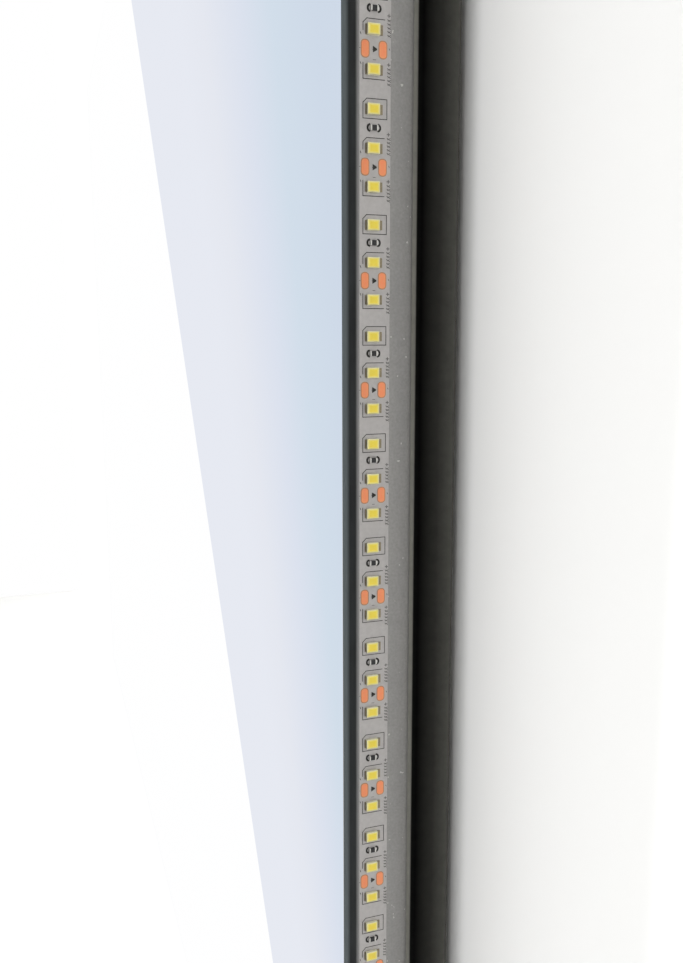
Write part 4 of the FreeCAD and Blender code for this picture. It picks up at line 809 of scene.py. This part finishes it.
    def build_stage(self) -> tuple[bpy.types.Object, bpy.types.Object]:
        """Make the wall, open behind the pan, and the floor.

        Returns:
            The wall and the floor.
        """
        low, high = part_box("back_pan")
        inset, reach = 0.006, 2.2
        bm = bmesh.new()
        for x0, x1, z0, z1 in ((-reach, low.x + inset, -0.9, reach), (high.x - inset, reach, -0.9, reach),
                               (low.x + inset, high.x - inset, high.z - inset, reach),
                               (low.x + inset, high.x - inset, -0.9, low.z + inset)):
            place = Matrix.Translation(((x0 + x1) / 2, 0.0, (z0 + z1) / 2)) @ Matrix.Rotation(
                math.pi / 2, 4, "X") @ Matrix.Diagonal((x1 - x0, z1 - z0, 1, 1))
            bmesh.ops.create_grid(bm, x_segments=1, y_segments=1, size=0.5, matrix=place)
        wall = bpy.data.objects.new("wall", clean_mesh(bm, "wall"))
        wall.data.materials.append(self.stage_material("wall_paint", (243, 243, 242)))
        bm = bmesh.new()
        bmesh.ops.create_grid(bm, x_segments=1, y_segments=1, size=2.2,
                              matrix=Matrix.Translation((0, -2.2, -0.9)))
        floor = bpy.data.objects.new("floor", clean_mesh(bm, "floor"))
        floor.data.materials.append(self.stage_material("floor_paint", (236, 236, 235)))
        floor.visible_glossy = False
        for item in (wall, floor):
            bpy.context.scene.collection.objects.link(item)
        return wall, floor

    def build(self) -> None:
        """Make the stage and its light."""
        self.build_world()
        wall, floor = self.build_stage()
        slant = math.radians(self.key_slant)
        self.add_sun("key", (math.sin(slant), -math.cos(slant), 0.12), self.key, self.key_spread)
        self.add_sun("wall_wash", (-0.866, -0.5, 0.0), 3.2, 6.0, (wall,))
        self.add_sun("floor_wash", (0.05, -0.1, 1.0), 1.1, 6.0, (floor,))
        scene = bpy.context.scene
        scene.view_settings.view_transform = "Standard"


# ---------------------------------------------------------------- wiring

@dataclass
class Wiring:
    """Round leads in place of the CAD's six-sided strip jumpers; the other leads keep their CAD shape."""

    red: bpy.types.Material
    black: bpy.types.Material
    green: bpy.types.Material
    brown: bpy.types.Material
    blue: bpy.types.Material
    thin: float = 0.0007
    thick: float = 0.0012

    def tube(self, name: str, routes: list[list[Vector]], radius: float,
             material: bpy.types.Material, replaces: str) -> None:
        """Make round leads along routes.

        Args:
            name: Name of the piece.
            routes: Points of each lead.
            radius: Radius of the leads.
            material: Their sleeve.
            replaces: CAD node that they stand for.
        """
        curve = bpy.data.curves.new(name, "CURVE")
        curve.dimensions, curve.bevel_depth, curve.bevel_resolution = "3D", radius, 3
        curve.use_fill_caps, curve.resolution_u = True, 6
        for route in routes:
            spline = curve.splines.new("NURBS")
            spline.points.add(len(route) - 1)
            for point, place in zip(spline.points, route):
                point.co = (*place, 1.0)
            spline.order_u, spline.use_endpoint_u = 3, True
        curve.materials.append(material)
        piece = bpy.data.objects.new(name, curve)
        bpy.context.scene.collection.objects.link(piece)
        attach(piece, "mirror")
        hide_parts(replaces)
        LOG.info("%s: %d leads", name, len(routes))

    def build_jumpers(self, strips: dict[Side, LightStrip]) -> None:
        """Make the pairs of wires that go round three corners from strip to strip."""
        order = (Side.RIGHT, Side.BOTTOM, Side.LEFT, Side.TOP)
        for sign, material, name in ((-1, self.black, "jumpers_minus"), (1, self.red, "jumpers_plus")):
            routes = []
            for this, following in zip(order, order[1:]):
                one, two = strips[this], strips[following]
                stand = one.top + self.thin
                low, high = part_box(f"frame_{this.label}")
                half = (high.z - low.z if this in (Side.RIGHT, Side.LEFT) else high.x - low.x) / 2
                corner = -(half + stand)
                y = one.strip_y + sign * 0.0022
                far = two.strip_half - 2 * self.thin
                route = [one.place @ Vector((-one.strip_half + 2 * self.thin, y, -stand)),
                         one.place @ Vector((corner + 0.012, y, -stand)),
                         one.place @ Vector((corner + 0.0015, y, -stand)),
                         two.place @ Vector((half_of(two) + stand - 0.0015, y, -stand)),
                         two.place @ Vector((half_of(two) + stand - 0.012, y, -stand)),
                         two.place @ Vector((far, y, -stand))]
                routes.append(route)
            self.tube(name, routes, self.thin, material, "strip_jumpers")


def half_of(strip: LightStrip) -> float:
    """Return half the outer length of the frame side that carries a strip."""
    low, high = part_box(f"frame_{strip.side.label}")
    return (high.z - low.z if strip.side in (Side.RIGHT, Side.LEFT) else high.x - low.x) / 2


# ---------------------------------------------------------------- the mirror

def dress(names: tuple[str, ...], finish: bpy.types.Material) -> None:
    """Give CAD nodes a material.

    Args:
        names: Names of the nodes.
        finish: The material.
    """
    for name in names:
        mesh = bpy.data.objects[name].data
        mesh.materials.clear()
        mesh.materials.append(finish)


def main() -> None:
    """Build the classes in order."""
    logging.basicConfig(level=logging.INFO, format="%(name)s %(message)s")
    sides = tuple(side.label for side in Side)
    glass_low, glass_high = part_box("mirror_glass")
    dress(("mirror_glass",), MirrorFinish(glass_low.y, glass_high.y).make())
    dress(("bonding_tape",), GrainFinish("foam_tape", (222, 222, 218), (206, 206, 202), 1500.0).make())
    # Painted shade: the frame's side darkens towards its rear edge.
    aluminium = GrainFinish("frame_aluminium", (157, 155, 152), (146, 144, 141), 1600.0,
                            metallic=0.5, roughness=0.5, depth=0.000015, fine=5200.0, specks=0.245,
                            fade=((-0.0215, 1.0), (-0.0185, 0.87), (-0.0165, 0.74),
                                  (-0.015, 0.62))).make()
    dress(tuple(f"frame_{side}" for side in sides), aluminium)
    dress(("wall_rail",), GrainFinish("rail_aluminium", (178, 179, 181), (164, 165, 168), 700.0,
                                      stretch=(0.05, 1.0, 1.0), metallic=0.9, roughness=0.38).make())
    # Painted shade: the strip's board darkens towards its rear.
    dress(tuple(f"led_strip_{side}" for side in sides),
          GrainFinish("strip_board", (203, 199, 197), (194, 190, 188), 1200.0, roughness=0.42,
                      depth=0.000006, fade=((-0.0294, 1.0), (-0.0214, 0.84))).make())
    dress(("corner_keys", "corner_screws", "pan_screws", "hanger_hook_left", "hanger_hook_right",
           "hanger_rivets", "driver_screws", "terminal_box_screws", "earth_screw", "terminal_screws"),
          GrainFinish("zinc_steel", (186, 189, 193), (150, 154, 160), 260.0, metallic=1.0,
                      roughness=0.34, depth=0.00001).make())
    # Painted shade on the pan's side: a pale band next to the frame, painted like the frame's rear edge,
    # then near black in the recess, growing lighter towards the wall.
    dress(("back_pan",), GrainFinish("pan_paint", (150, 149, 141), (140, 139, 132), 500.0, roughness=0.75,
                                     depth=0.00002, fine=2600.0, specks=0.235, gloss=0.04,
                                     speck_colour=(150, 148, 140),
                                     fade=((-0.0147, 1.0), (-0.0131, 0.7), (-0.0127, 0.015),
                                           (-0.0115, 0.002), (-0.0067, 0.11), (-0.0037, 0.26),
                                           (-0.0015, 0.42))).make())
    dress(("wall_bumpers", "inlet_grommet", "lead_grommet"),
          GrainFinish("black_rubber", (38, 38, 38), (28, 28, 28), 1400.0, roughness=0.7).make())
    dress(("driver_case", "driver_lid", "terminal_box", "terminal_lid", "lead_clips"),
          GrainFinish("housing_plastic", (226, 226, 222), (214, 214, 210), 1100.0, roughness=0.5).make())
    dress(("driver_board",), GrainFinish("circuit_board", (34, 92, 54), (26, 76, 44), 600.0,
                                         roughness=0.4).make())
    dress(("driver_parts",), GrainFinish("components", (52, 52, 56), (38, 38, 42), 900.0,
                                         roughness=0.45).make())
    dress(("terminal_block",), GrainFinish("block_plastic", (214, 213, 206), (202, 201, 194), 900.0,
                                           roughness=0.5).make())
    dress(("earth_tag",), GrainFinish("tinned_brass", (214, 206, 178), (190, 184, 160), 800.0,
                                      metallic=1.0, roughness=0.3).make())
    looks = StripFinishes(
        body=GrainFinish("led_body", (255, 252, 226), (250, 246, 210), 2500.0, roughness=0.4).make(),
        phosphor=PhosphorFinish().make(),
        tin=GrainFinish("tin", (150, 138, 110), (128, 118, 94), 2500.0, metallic=0.3,
                        roughness=0.5).make(),
        solder=GrainFinish("solder", (232, 230, 224), (214, 212, 206), 2500.0, metallic=0.2,
                           roughness=0.4).make(),
        black=GrainFinish("resistor_black", (18, 18, 18), (28, 28, 28), 3000.0, roughness=0.35).make(),
        copper=GrainFinish("pad_copper", (255, 148, 96), (252, 158, 108), 1800.0, metallic=0.1,
                           roughness=0.4).make(),
        rim=GrainFinish("pad_rim", (196, 138, 96), (178, 142, 106), 1800.0, roughness=0.5).make(),
        ink=GrainFinish("mark_ink", (52, 50, 48), (74, 72, 70), 2500.0, roughness=0.6,
                        gloss=0.1).make(),
        faint=GrainFinish("sign_ink", (104, 102, 100), (120, 118, 116), 2500.0, roughness=0.6,
                          gloss=0.1).make())
    strips = {side: LightStrip(side) for side in Side}
    for strip in strips.values():
        strip.build(looks)
    sleeve = {tone: GrainFinish(f"sleeve_{tone}", colour, other, 1500.0, roughness=0.42).make()
              for tone, colour, other in (("red", (186, 34, 30), (170, 28, 26)),
                                          ("black", (36, 36, 37), (28, 28, 29)),
                                          ("green", (84, 148, 52), (70, 132, 44)),
                                          ("brown", (104, 66, 44), (92, 58, 40)),
                                          ("blue", (48, 92, 168), (42, 82, 152)))}
    wiring = Wiring(**sleeve)
    wiring.build_jumpers(strips)
    dress(("supply_leads",), sleeve["red"])
    dress(("mains_leads",), sleeve["brown"])
    dress(("earth_lead",), sleeve["green"])
    view = View()
    view.build()
    Surroundings(view).build()


if __name__ == "__main__":
    for leftover in list(bpy.data.objects):
        bpy.data.objects.remove(leftover)
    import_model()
    main()
